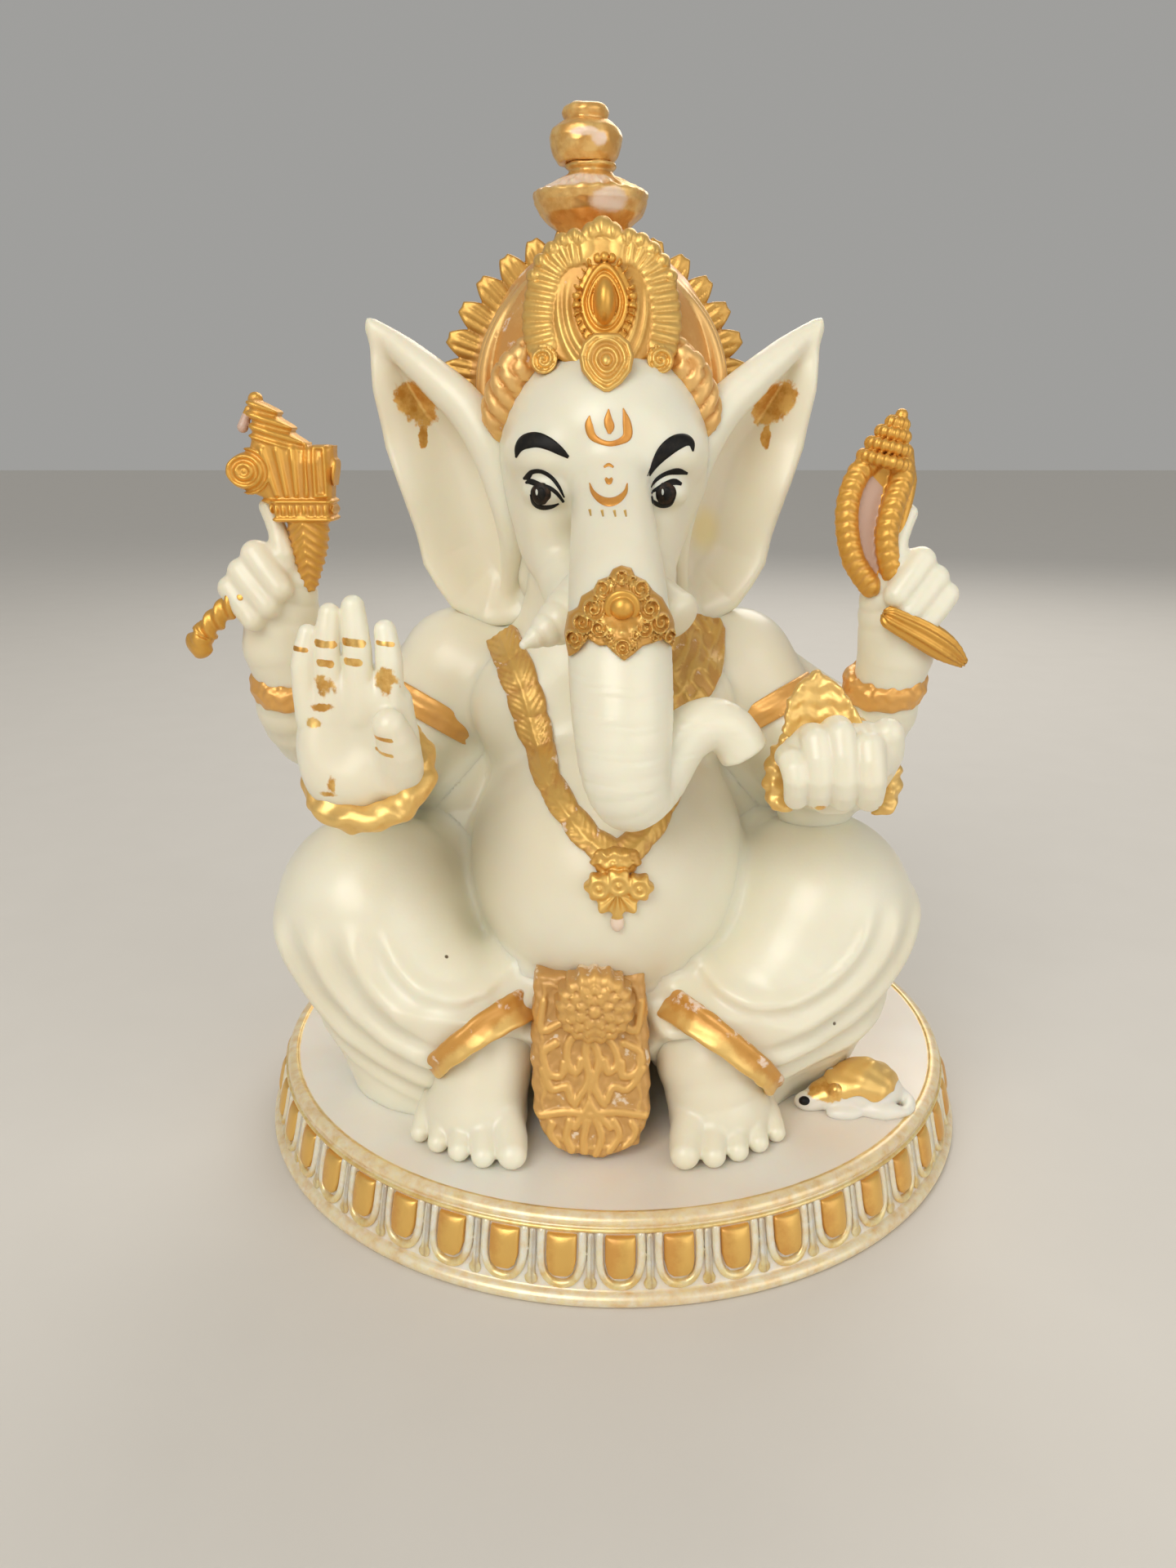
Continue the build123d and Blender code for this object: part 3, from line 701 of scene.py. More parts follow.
RIGHT_PALM = hand_gilt([(-38.4, -37.0, 82.3, 0.18), (-35.6, -33.8, 83.0, 0.27),
    (-32.4, -30.4, 83.2, 0.29), (-28.6, -26.9, 83.0, 0.18), (-35.4, -34.1, 80.7, 0.26),
    (-32.2, -30.8, 80.9, 0.28), (-29.2, -26.9, 72.5, 0.15), (-29.2, -27.0, 70.5, 0.15)],
    [(-34.9, 78.0, 1.3, 1.6), (-35.4, 75.4, 1.7, 0.6), (-36.6, 73.6, 1.1, 0.7), (-27.9, 78.6, 1.6, 1.7),
    (-34.6, 66.2, 0.6, 1.5), (-34.9, 65.0, 1.2, 0.5)])
LEFT_FIST = hand_gilt([], [(24.0, 62.9, 1.0, 0.6), (32.2, 63.0, 1.4, 0.6), (31.1, 59.6, 0.7, 0.9)])


def front_left_hand(p):
    """A closed fist, its four fingers side by side."""
    d = rod(p, (23.6, -39.5, 68), (29.6, -39.5, 68.4), 4.0, 4.2)
    d = join(2.0, d, rod(p, (27.0, -36.6, 64.4), (26.8, -38.5, 65.4), 3.9, 4.0))
    d = join(1.5, d, block(p, (26.4, -39.0, 62.6), (2.2, 1.8, 2.4), 1.4))
    for x, high, r, lean in ((20.9, 69.2, 1.65, 0.4), (23.6, 71.7, 1.75, 0.4), (26.6, 72.5, 1.85, 0.5),
            (29.8, 71.0, 1.95, 0.2)):
        finger = limb(p, [(x - lean, -39.5, high - 1.0), (x - lean, -42.6, high - 0.8), (x, -44.0, 66.6),
            (x + 0.3, -42.6, 63.9)], [r, r * 1.02, r * 0.98, r * 0.9], 2)
        d = join(0.45, d, finger)
    thumb = limb(p, [(31.8, -37.5, 64.5), (32.8, -39.5, 68.5), (32.2, -40.8, 71.4)], [1.8, 1.9, 2.0], 2)
    return meet(0.8, join(0.8, d, thumb), F(60.9) - p[:, 2])


HAND_MIRROR = -8.0             # twice the X of the plane between the rear hands


def rear_hand(p, o):
    """A hand that grips its attribute with the first finger raised."""
    q = mirrored(p, o, HAND_MIRROR)
    if o > 0:
        # The left hand sits a little lower.
        q[:, 2] = q[:, 2] + F(0.9)
    d = limb(q, [(-47.7, -7.2, 69.5), (-48.9, -8.6, 76.5), (-47.6, -9.5, 82), (-45.3, -10.6, 86)],
        [4.4, 5.5, 4.7, 2.6], 2)
    d = join(2.0, d, egg(q, (-50.4, -12, 84.4), (3.6, 3.4, 4.2)))
    for k, tip, r in (((-50.3, 90.0), (-46.8, 85.6), 2.05), ((-52.4, 87.6), (-48.7, 83.2), 2.0),
            ((-54.2, 85.4), (-50.9, 81.2), 1.75)):
        d = join(0.8, d, limb(q, [(k[0] + 1.2, -10.5, k[1] - 1.2), (k[0], -13.2, k[1]),
            (tip[0], -15.0, tip[1])], [r, r * 1.02, r * 0.9], 2))
    point = limb(q, [(-46.8, -11.6, 87), (-46.7, -12.4, 90), (-47.3, -12.0, 93.2), (-48.5, -11.4, 96.4)],
        [2.2, 1.85, 1.35, 1.3], 2)
    return join(1.0, d, point)


# ---------------------------------------------------------------- gilded ornaments held or worn
def along(p, points, radii, n=3):
    """Distance to a path, how far along it (mm) and the angle about it, for relief on ropes."""
    path = smooth_path(points, radii, n)
    best = np.full(len(p), 1e9, F)
    run = np.zeros(len(p), F)
    turn = np.zeros(len(p), F)
    s = 0.0
    for a, b in zip(path, path[1:]):
        ab = (b - a)[:3]
        length = float(np.linalg.norm(ab)) + 1e-6
        axis = (ab / length).astype(F)
        w = p - a[:3].astype(F)
        t = np.clip(w @ axis, 0, length)
        d = np.linalg.norm(w - t[:, None] * axis, axis=1) - (a[3] + (b[3] - a[3]) * t / length)
        side = np.cross(axis, (0, -1, 0))
        side /= np.linalg.norm(side) + 1e-6
        front = np.cross(side, axis)
        closer = d < best
        best = np.where(closer, d, best)
        run = np.where(closer, s + t, run)
        turn = np.where(closer, np.arctan2(w @ side.astype(F), w @ front.astype(F)), turn)
        s += length
    return best, run, turn


def lumps(p, scale, deep):
    """Uneven hand-worked surface."""
    q = p * F(scale)
    return deep * (np.sin(q[:, 0] * 1.7 + 1.3 * np.sin(q[:, 1] * 1.1))
        * np.sin(q[:, 1] * 1.3 + 1.1 * np.sin(q[:, 2] * 1.5))
        + np.sin(q[:, 2] * 1.9 + np.sin(q[:, 0] * 1.2)))


def facing(normal):
    """Degrees about X then Z that turn the local Z axis to a normal."""
    x, y, z = normal
    tilt = math.degrees(math.atan2(math.hypot(x, y), z))
    return (tilt, 0, math.degrees(math.atan2(x, -y)))


def bangle(p, c, normal, major, minor, squash=1.0, deep=0.16, scale=1.6):
    return hoop(p, c, major, minor, facing(normal), squash) + lumps(p, scale, deep)


def goad_silhouette(p):
    return outline(p[:, [0, 2]], [(-49.7, 110.4), (-48.7, 111.0), (-47.7, 110.4), (-46.2, 109.2),
        (-44.9, 107.8), (-43.6, 106.2), (-42.6, 104.9), (-38.2, 105.0), (-38.9, 97.4), (-39.1, 94.6),
        (-46.9, 94.6), (-48.5, 97.4), (-52.2, 98.9), (-53.8, 100.7), (-53.5, 102.4), (-51.4, 103.9),
        (-50.2, 104.4), (-49.9, 105.6), (-49.6, 107.4), (-49.9, 109.0)])


def goad_relief(p):
    """Height of the goad's ribs, scrolls and beads, 0 to 1."""
    x, z = p[:, 0], p[:, 2]
    angle = np.degrees(np.arctan2(z - 86, x + 43.2))
    ribs = ripple(angle - 73, 6.4) ** 1.5 * step(z, 97.6, 98.2) * (1 - step(z, 104, 105))
    ribs = ribs * (1 - step(angle, 108, 111))
    r = np.hypot(x + 50.6, (z - 101.3) * 1.15)
    lobe = ripple(r - 2.3, 1.25) * (1 - step(r, 3.4, 3.9))
    ribs = np.where(r < 3.6, lobe, ribs)
    panel = np.abs(np.maximum(np.abs(x + 40.4) - 0.2, np.abs(z - 101.2) - 2.7))
    frame_lines = bell(panel - 0.5, 0.28)
    ribs = np.where((np.abs(x + 40.4) < 1.6) & (z > 97.8) & (z < 104.8), frame_lines, ribs)
    across = (z - 104.6) + 0.3 * (x + 46)
    crown = ripple(across, 1.5) * step(across, -0.3, 0.3)
    ribs = np.maximum(ribs, crown * step(z, 103.6, 104.6) * (x < -42))
    collar = np.maximum(bell(z - 97.3, 0.3), bell(z - 94.9, 0.35))
    beads = ripple(x, 0.95) * bell(z - 96.1, 0.75)
    return np.maximum(ribs * (z > 97.4), np.maximum(collar, beads) * (z < 97.8))


def goad_head(p):
    flat = goad_silhouette(p)
    half = 2.3 + 0.7 * np.clip(-flat, 0, 2.5) / 2.5
    plate = meet(1.0, flat, np.abs(p[:, 1] + 12) - half)
    plate = plate + 0.32 - 0.5 * goad_relief(p)
    bars = block(p, (-43.1, -12, 96.0), (3.9, 3.1, 1.5), 0.5)
    bars = bars + 0.25 - 0.5 * goad_relief(p)
    d = join(0.4, plate, bars, ball(p, (-49.0, -12, 110.6), 1.0))
    d = join(0.5, d, limb(p, [(-50.0, -12, 109.3), (-50.9, -12.4, 107.0)], [0.55, 0.75], 1))
    shaft = limb(p, [(-43.0, -12, 95), (-43.0, -12, 91), (-43.5, -11.6, 86)], [3.0, 2.5, 1.3], 3)
    leaf = np.abs(np.sin((p[:, 2] + 0.8 * np.abs(p[:, 0] + 43.1)) * 2.4))
    return join(0.4, d, shaft + 0.28 * leaf - 0.14)


def goad_height(p):
    leaf = 1 - np.abs(np.sin((p[:, 2] + 0.8 * np.abs(p[:, 0] + 43.1)) * 2.4))
    chip = np.hypot((p[:, 0] + 50.8) / 1.1, (p[:, 2] - 107.2) / 1.6) < 1
    return np.where(chip, -3.0, np.where(p[:, 2] > 94.2, 0.3 + 0.7 * goad_relief(p), 0.15 + 0.6 * leaf))


GOAD_TAIL = [(-52.6, -14.2, 84.4), (-55.6, -13.6, 81.9), (-58.0, -13.0, 79.6), (-59.4, -12.6, 77.6)]
NOOSE_TAIL = [(38.2, -15.8, 81.6), (42.4, -15.6, 79.5), (46.2, -14.6, 77.2), (48.9, -13.8, 75.2)]


def goad_tail(p):
    d, run, turn = along(p, GOAD_TAIL, [1.5, 1.45, 1.45, 2.0])
    return d + 0.28 * np.sin(turn * 2 + run * 2.6)


def noose_tail(p):
    d, run, turn = along(p, NOOSE_TAIL, [1.5, 1.9, 1.8, 0.8])
    return d + 0.22 * np.cos(turn * 9)


NOOSE_ROPE = 1.62              # the radius of its two thick edges
NOOSE_LEFT = [(35.6, -12, 103.6), (33.0, -12.4, 101.0), (31.7, -12.8, 97.5), (31.7, -13, 93.5),
    (33.0, -12.8, 89.0), (35.6, -12.4, 85.6)]
NOOSE_RIGHT = [(38.8, -12, 103.5), (38.9, -12.8, 100.5), (37.8, -13.4, 97), (37.1, -13.6, 93.5),
    (37.4, -13.4, 90.3), (38.4, -13, 87.6)]
NOOSE_OUTER = [(39.4, -11.6, 103), (40.2, -11.8, 100), (39.6, -12, 96), (38.9, -12.2, 92),
    (38.6, -12.2, 88.5)]


def noose_weave(run, turn):
    return (0.5 + 0.5 * np.cos((run - 0.55 * np.abs(turn)) * 4.6)) ** 0.8


def noose(p):
    d = None
    for path in (NOOSE_LEFT, NOOSE_RIGHT):
        e, run, turn = along(p, path, [NOOSE_ROPE] * len(path), 2)
        edge = bell(np.abs(turn) - 1.25, 0.35)
        e = e + 0.18 - 0.2 * np.maximum(noose_weave(run, turn), edge)
        d = e if d is None else join(0.3, d, e)
    d = join(0.3, d, limb(p, NOOSE_OUTER, [1.0] * 5, 2))
    d = join(0.5, d, meet(0.4, outline(p[:, [0, 2]], [(35.6, 84.8), (31.6, 90), (31, 98), (35, 103),
        (39.5, 101), (38.4, 92), (38.8, 86.4)]), np.abs(p[:, 1] + 11.2) - 1.2))
    # A stack of beaded rings caps the loop and tapers to a tip.
    for i, (x, z, r) in enumerate(((36.4, 102.6, 3.7), (36.9, 104.4, 3.2), (37.4, 106.1, 2.4),
            (37.9, 107.5, 1.6))):
        q = local(p, (x, -12, z), (0, 14, 0))
        spin_angle = np.arctan2(q[:, 1], q[:, 0])
        wave = 0.14 * np.cos(spin_angle * (20 - 3 * i))
        tube = np.hypot(np.maximum(np.hypot(q[:, 0], q[:, 1]) - F(r - 0.8), 0), q[:, 2])
        d = join(0.25, d, tube - 0.85 + wave)
    return join(0.3, d, ball(p, (38.4, -12, 108.6), 0.85))


def noose_height(p):
    high = np.full(len(p), 0.85)
    for path in (NOOSE_LEFT, NOOSE_RIGHT):
        e, run, turn = along(p, path, [NOOSE_ROPE] * len(path), 2)
        high = np.where(e < 0.6, 0.25 + 0.75 * noose_weave(run, turn), high)
    # The recessed middle shows the gold's bare colour: unpainted resin, darker as painted shade.
    shaded_recess = (p[:, 1] > -12.6) & (outline(p[:, [0, 2]],
        [(35.9, 86), (33.2, 91), (33.0, 97.5), (34.6, 101.0), (36.4, 99), (35.6, 93), (36.6, 88)]) < 0)
    back = p[:, 1] > -10.2
    return np.where(shaded_recess, -3.0, np.where(back, 0.4, high))


# ---------------------------------------------------------------- crown
CX = -2.25                     # the crown's own middle, a little off the figure's
FAN = [(2.6, 129.4), (5.2, 128.8), (7.2, 126.8), (8.2, 123.6), (8.6, 120.2), (8.1, 117.4)]
KNOBS = [(0.0, 131.9, 1.5), (1.45, 131.4, 1.25), (2.9, 130.5, 1.0), (3.6, 130.9, 1.1), (5.2, 130.4, 1.1),
    (6.7, 129.4, 1.05), (8.1, 128.0, 1.0), (9.2, 126.2, 0.9)]


def flat_path(u, v, path):
    """Distance to a drawn line in a plane and how far along it."""
    p = np.stack([u, np.zeros_like(u), v], 1).astype(F)
    d, run, _ = along(p, [(a, 0, b) for a, b in path], [0.0] * len(path), 3)
    return d, run


def ridge(d, width):
    """A rounded ridge, 1 on the line and 0 a width away."""
    return np.clip(1 - (d / width) ** 2, 0, 1) ** 0.5


def diadem_plan(p):
    """Silhouette distance and relief of the crown's front plate."""
    u, v = np.abs(p[:, 0] - F(CX)), p[:, 2]
    fan, run = flat_path(u, v, FAN)
    flute = ripple(run, 1.28)
    edge = fan - F(1.95) - 0.22 * flute
    middle = outline(np.stack([u, v], 1), [(-1, 113.4), (3, 114.2), (5.8, 115.6), (7.4, 118.5),
        (7.2, 123.5), (5.6, 127.5), (2.6, 130.2), (-1, 131)])
    curl = np.hypot(u - 7.7, v - 115.5)
    flat = np.minimum(np.minimum(edge, middle), curl - 1.8)
    for a, b, r in KNOBS:
        flat = np.minimum(flat, np.hypot(u - a, v - b) - r)
    tall = 0.75 * ridge(fan, 2.1) * (0.45 + 0.55 * flute ** 0.7)
    # Soft drapes fall on both sides of the stone.
    e = np.hypot(u / 3.0, (v - 122.6) / 4.6)
    for at, wide in ((1.55, 0.14), (1.95, 0.14)):
        tall = np.maximum(tall, 0.42 * bell(e - at, wide) * step(fan, 0.6, 1.8) * (1 - step(v, 120, 127)))
    tall = np.maximum(tall, 0.5 * (u < 2.0) * (v > 127))
    swirl = np.abs(((curl * 1.05 + np.arctan2(v - 115.5, u - 7.7) / (2 * np.pi)) % 1) - 0.5) * 2
    tall = np.where(curl < 1.9, 0.9 * (1 - swirl) ** 0.6 + 0.45, tall)
    for a, b, r in KNOBS:
        knob = np.hypot(u - a, v - b)
        shell = 0.9 + 0.1 * np.cos(np.arctan2(u - a, v - b + 1.2 * r) * 9)
        tall = np.maximum(tall, 1.15 * ridge(knob, 0.95 * r) * shell)
    return flat, tall


def diadem_depth(p):
    return -16.2 + (p[:, 2] - 115) * 0.27 + 0.026 * (p[:, 0] - CX) ** 2


def diadem(p):
    flat, tall = diadem_plan(p)
    front = diadem_depth(p)
    return meet(0.45, flat, np.maximum(front - 0.95 * tall - p[:, 1], p[:, 1] - front - 2.6) * F(0.85))


def diadem_height(p):
    flat, tall = diadem_plan(p)
    return np.where(p[:, 1] > diadem_depth(p) + 1.0, 0.3, 0.12 + tall)


def gem(p):
    """The teardrop stone in its double frame, ringed with beads."""
    x, z = p[:, 0] - F(CX + 0.3), p[:, 2] - F(122.8)
    narrow = 1 - 0.07 * np.clip(z, 0, 5)
    deep = diadem_depth(p)
    stone = egg(p, (CX + 0.3, -14.9, 122.6), (1.5, 2.6, 3.0))
    wide, high = 3.0, 4.5
    e = np.hypot(x / narrow / wide, z / high)
    rings = None
    for at, r, thick in ((0.95, 0.36, 0.9), (0.68, 0.26, 0.8)):
        ring = np.hypot((e - at) * wide, (p[:, 1] - deep + 0.35) * 0.7) - r
        rings = ring if rings is None else np.minimum(rings, ring)
    angle = np.arctan2(x, z)
    near = np.round(angle / (2 * np.pi) * 26) / 26 * 2 * np.pi
    bx, bz = wide * 1.22 * np.sin(near), high * 1.2 * np.cos(near)
    bead = np.sqrt((x - bx) ** 2 + (z - bz) ** 2 + (p[:, 1] - deep + 0.75) ** 2) - 0.62
    pad = meet(0.3, e * wide - 4.1, np.abs(p[:, 1] - deep - 0.2) - 0.55)
    return join(0.12, stone, rings, bead, pad)


def medallion_plan(p):
    x, z = p[:, 0] - F(-1.75), p[:, 2]
    flat = outline(np.stack([np.abs(x), z], 1), [(-1, 118.6), (1.6, 118.5), (3.0, 117.4), (3.55, 115.8),
        (3.2, 113.9), (1.9, 112.3), (0.4, 111.3), (-1, 111.2)])
    point = 1 + 0.16 * np.clip(115.0 - z, 0, 4)
    e = np.hypot(x * point, (z - 115.2) * 0.92)
    tall = np.maximum(bell(flat + 0.4, 0.32), bell(e - 2.35, 0.30))
    tall = np.maximum(tall, bell(e - 1.35, 0.24) * 0.9)
    return flat, np.maximum(tall, 1.2 * ridge(e, 0.7))


def medallion_depth(p):
    return -19.2 - (118.5 - p[:, 2]) * 0.42 + 0.05 * (p[:, 0] + 1.75) ** 2


def medallion(p):
    flat, tall = medallion_plan(p)
    front = medallion_depth(p)
    return meet(0.3, flat, np.maximum(front - 0.5 * tall - p[:, 1], p[:, 1] - front - 2.2) * F(0.85))


def medallion_height(p):
    return 0.1 + medallion_plan(p)[1]


TEMPLE = [(-11.3, -10.6, 117.6), (-13.6, -10.8, 114.6), (-15.3, -9.8, 111.0), (-16.4, -8.0, 107.4),
    (-16.9, -4.0, 106.4), (-16.4, 3, 106.4), (-12.6, 10.6, 106.4), (-6.4, 14.6, 106.4), (-2.7, 15.2, 106.4)]
TEMPLE_R = [1.6, 2.5, 2.8, 2.6, 2.2, 2.2, 2.2, 2.2, 2.2]
CAP_ARCHES = [(-4.9, 16.4), (-3.1, 17.0)]


def cap_arch(p, y, major):
    return hoop(p, (CX + 0.1, y, 112.2), major, 0.85, (90, 0, 0))


def crown_cap(p):
    d = egg(p, (CX, 1.6, 113), (17.0, 16.0, 19.6))
    q = p.copy()
    q[:, 0] = F(CX) - np.abs(p[:, 0] - F(CX))
    d = meet(0.6, d, F(106.0) - p[:, 2])
    around = np.arctan2(q[:, 0] - F(CX), q[:, 1] - 1.6)
    back = step(p[:, 1], -2, 3)
    flutes = 0.35 * back * (0.5 + 0.5 * np.cos(around * 22))
    d = d - flutes * (1 - step(p[:, 2], 126, 131)) * step(p[:, 2], 108, 111)
    band, run, turn = along(q, TEMPLE, TEMPLE_R, 3)
    flute = np.abs(np.sin(np.pi * (run + 1.3 * turn) / 2.1)) ** 0.7
    d = join(0.5, d, band + 0.25 - 0.55 * flute)
    for y, major in CAP_ARCHES:
        d = join(0.35, d, cap_arch(p, y, major))
    return d


def crown_cap_height(p):
    q = p.copy()
    q[:, 0] = F(CX) - np.abs(p[:, 0] - F(CX))
    band, run, turn = along(q, TEMPLE, TEMPLE_R, 3)
    flute = np.abs(np.sin(np.pi * (run + 1.3 * turn) / 2.1))
    arch = np.minimum(*[cap_arch(p, y, major) for y, major in CAP_ARCHES])
    around = np.arctan2(q[:, 0] - F(CX), q[:, 1] - 1.6)
    shell = 0.25 + 0.35 * step(p[:, 1], -2, 3) * (0.5 + 0.5 * np.cos(around * 22))
    return np.where(band < 0.5, 0.1 + 0.8 * flute, np.where(arch < 0.3, 0.8, shell))


LEAF = math.radians(11.6)


def aureole_plan(p):
    x, z = p[:, 0] - F(CX - 0.9), p[:, 2] - F(111.6)
    r = np.hypot(x, z)
    angle = np.arctan2(x, z)
    t = ((angle / LEAF + 0.5) % 1 - 0.5) * 2
    edge = 20.4 + 2.6 * (1 - np.abs(t) ** 2.6) - 0.3 * np.abs(np.cos(t * np.pi * 1.5))
    flat = (r - edge) * F(0.8)
    grooves = np.abs(np.cos(t * np.pi * 1.5)) ** 0.6
    tall = (1 - np.abs(t) ** 2) * 0.55 + 0.45 * grooves * (1 - step(r, 21, 22.6))
    tall = tall * step(r, 16.4, 18)
    return flat, tall, r


def aureole(p):
    flat, tall, r = aureole_plan(p)
    d = meet(0.5, flat, np.abs(p[:, 1] - 4.6) - F(1.0) - 0.7 * tall)
    d = meet(0.4, d, 14.0 - r)
    d = join(0.3, d, hoop(p, (CX - 0.9, 4.6, 111.6), 17.4, 1.5, (90, 0, 0), 1.1))
    return meet(0.5, d, F(108.4) - p[:, 2])


def aureole_height(p):
    flat, tall, r = aureole_plan(p)
    return np.where(r < 18.4, 0.35, 0.1 + tall * 0.9)


def finial_gilt_and_highlights(p):
    """Gold over the finial, with pale patches where it faces up and to the figure's right: painted highlights
    that show the resin's colour.
    """
    # bare marks the painted highlight patches, where the gold is left off.
    bare = 0.0
    for c, r in (((-6.5, -1.0, 139.6), (6.5, 6.0, 1.3)), ((-1.0, -3.0, 136.6), (3.2, 3.0, 1.8)),
            ((-2.6, 0.2, 144.8), (1.2, 1.8, 1.0)), ((-4.6, -1.0, 145.6), (3.0, 1.6, 0.7))):
        e = np.linalg.norm((p - np.array(c)) / np.array(r), axis=1)
        bare = np.maximum(bare, 1 - step(e, 0.5, 1.3))
    return 0.92 - 0.75 * bare


def turned(p, x, y, profile):
    """A form turned about an upright axis from its radius-height outline."""
    q = np.stack([np.hypot(p[:, 0] - F(x), p[:, 1] - F(y)), p[:, 2]], 1)
    return outline(q, profile)


def finial_bowl(p):
    d = turned(p, -3.7, 4.6, [(-1, 130.5), (5.0, 131.2), (4.75, 133.0), (5.6, 134.1), (7.4, 135.6),
        (8.35, 137.2), (8.0, 138.4), (6.6, 139.4), (5.0, 140.3), (3.7, 141.0), (3.3, 141.4),
        (3.9, 141.9), (3.7, 142.5), (-1, 142.5)])
    a = np.arctan2(p[:, 0] + 3.7, p[:, 1] - 4.6)
    notch = 0.16 * np.cos(a * 24) * step(p[:, 2], 138.2, 139.0) * (1 - step(p[:, 2], 140.0, 140.8))
    return join(0.5, d + 0.2, hoop(p, (-3.7, 4.6, 138.1), 7.7, 0.5)) + notch + lumps(p, 0.9, 0.08)


def finial_bulb(p):
    d = turned(p, -4.4, 4.6, [(-1, 142.0), (3.9, 142.3), (4.5, 143.2), (5.15, 144.6), (5.25, 145.6),
        (4.8, 146.7), (3.8, 147.6), (3.1, 147.9), (3.3, 148.3), (3.4, 148.9), (3.1, 149.5), (2.4, 149.9),
        (-1, 149.95)])
    return d + 0.1 + lumps(p, 1.1, 0.07)


# ---------------------------------------------------------------- trunk band, chain and apron
def trunk_band(p):
    """Filigree band over the trunk: a scrolled crest above the boss and a drop below it."""
    plan, tall = trunk_band_plan(p)
    skin = head(p)
    d = meet(0.35, skin - 0.55 - 0.6 * tall, plan)
    return meet(0.4, meet(0.3, d, -skin - 0.7), p[:, 1] + 36.2)


def trunk_band_plan(p):
    x, z = p[:, 0], p[:, 2]
    crest = outline(p[:, [0, 2]], [(-0.2, 91.5), (-1.2, 91.1), (-1.7, 90.3), (-2.9, 89.9), (-3.5, 88.9),
        (-4.9, 88.0), (-5.3, 86.8), (-6.5, 85.8), (-7.0, 83.4), (-6.4, 81.2), (-5.2, 82.2), (-4.1, 83.7),
        (-2.9, 83.1), (-2.0, 83.2), (-1.0, 82.3), (0.0, 81.6), (1.1, 82.3), (2.2, 83.1), (3.4, 83.3),
        (4.6, 83.5), (6.0, 82.2), (6.4, 84.6), (5.4, 86.5), (4.7, 87.7), (3.5, 88.7), (2.7, 89.8),
        (1.4, 90.4), (1.0, 91.2)])
    boss = np.hypot(x + 0.2, z - 87.3)
    tall = 0.5 * bell(boss - 2.6, 0.4) * (0.6 + 0.4 * np.cos(np.arctan2(x + 0.2, z - 87.3) * 12))
    for a, b, r in ((3.3, 87.0, 1.1), (4.6, 85.4, 1.0), (2.7, 85.0, 0.8), (2.2, 89.1, 1.0),
            (5.6, 83.6, 0.9), (4.0, 83.9, 0.6), (1.6, 84.3, 0.6), (0.0, 90.4, 0.75), (1.2, 90.0, 0.5),
            (0.0, 83.2, 0.85), (3.1, 88.0, 0.5), (1.2, 83.2, 0.45)):
        u = np.abs(x + 0.2) - a
        loop = np.hypot(u, z - b)
        # Each scroll winds in from its rim to its eye.
        wind = np.abs((loop / (0.62 * r) + np.arctan2(z - b, u) / (2 * np.pi)) % 1 - 0.5)
        tall = np.maximum(tall, bell(wind, 0.2) * (1 - step(loop, 1.15 * r, 1.4 * r)))
    return crest, tall


def trunk_band_height(p):
    return 0.1 + trunk_band_plan(p)[1]


def trunk_boss(p):
    c = (-0.2, -44.8, 87.3)
    d = egg(p, c, (1.4, 1.3, 1.4))
    return join(0.2, d, hoop(p, (c[0], c[1] + 0.2, c[2]), 1.7, 0.42, (104, 0, 0)))


CHAIN = [(-19.4, 82.0), (-17.4, 78.6), (-15.0, 75.4), (-13.0, 71.2), (-11.6, 66.0), (-9.9, 62.0),
    (-7.3, 59.2), (-5.0, 56.9), (-2.3, 54.9), (-0.3, 54.4), (2.0, 55.2), (4.6, 57.6), (7.4, 61.6),
    (9.4, 66.4)]


def chain_plan(p):
    """Flat leaf links hugging the chest, wide at the shoulder and narrow at the front."""
    line, run = flat_path(p[:, 0], p[:, 2], CHAIN)
    wide = 1.55 + 0.85 * step(p[:, 2], 60, 68) - 0.6 * step(p[:, 2], 76, 82)
    link = np.abs(np.sin(np.pi * run / 3.9))
    flat = line - wide - 0.3 * link
    tall = ridge(line, wide + 0.4) * (0.3 + 0.7 * link ** 0.5)
    # Each link is a leaf with a vein and a few side ribs.
    vein = 0.25 * bell(line, 0.25) - 0.22 * ripple(run + 0.9 * line, 0.98) * step(line, 0.3, 0.9)
    fine = scrolls(p[:, 0] + 0.7 * p[:, 2], p[:, 2] - 0.5 * p[:, 0], 1.5)
    return flat, np.clip(0.75 * tall + vein + 0.12 * fine, 0, 1)


def chain(p):
    flat, tall = chain_plan(p)
    skin = torso_core(p)
    shell = np.maximum(skin - 0.75 - 0.55 * tall, -skin - 0.8)
    return meet(0.45, flat, np.maximum(shell, p[:, 1] - 1.5))


def chain_height(p):
    return chain_plan(p)[1]


def scrolls(x, z, pitch):
    """Interlaced scrollwork, 0 to 1, for chased surfaces."""
    a = np.sin(x * pitch + 1.6 * np.sin(z * pitch * 0.8))
    a = a * np.cos(z * pitch * 0.9 + 1.5 * np.sin(x * pitch * 0.7))
    b = np.abs(np.sin(x * pitch * 0.55 - z * pitch * 0.75 + 1.2 * np.sin(x * pitch * 0.9)))
    return np.clip(0.6 * (1 - np.abs(a) * 2.2) + 0.5 * (b > 0.8), 0, 1)


def collar_patch(p):
    flat = outline(p[:, [0, 2]], [(7.4, 82.4), (9.4, 81.6), (11.6, 84.4), (14.4, 82.4), (16.2, 78.6),
        (15.6, 74.6), (13.2, 71.0), (10.4, 69.4), (7.6, 69.0), (6.6, 75)])
    skin = torso_core(p)
    shell = np.abs(skin - 0.45) - 0.75 - 0.3 * scrolls(p[:, 0], p[:, 2] * 0.7, 1.4)
    return meet(0.4, flat, meet(0.2, shell, p[:, 1] + 4.0))


def collar_height(p):
    return 0.2 + 0.7 * scrolls(p[:, 0], p[:, 2] * 0.7, 1.4)


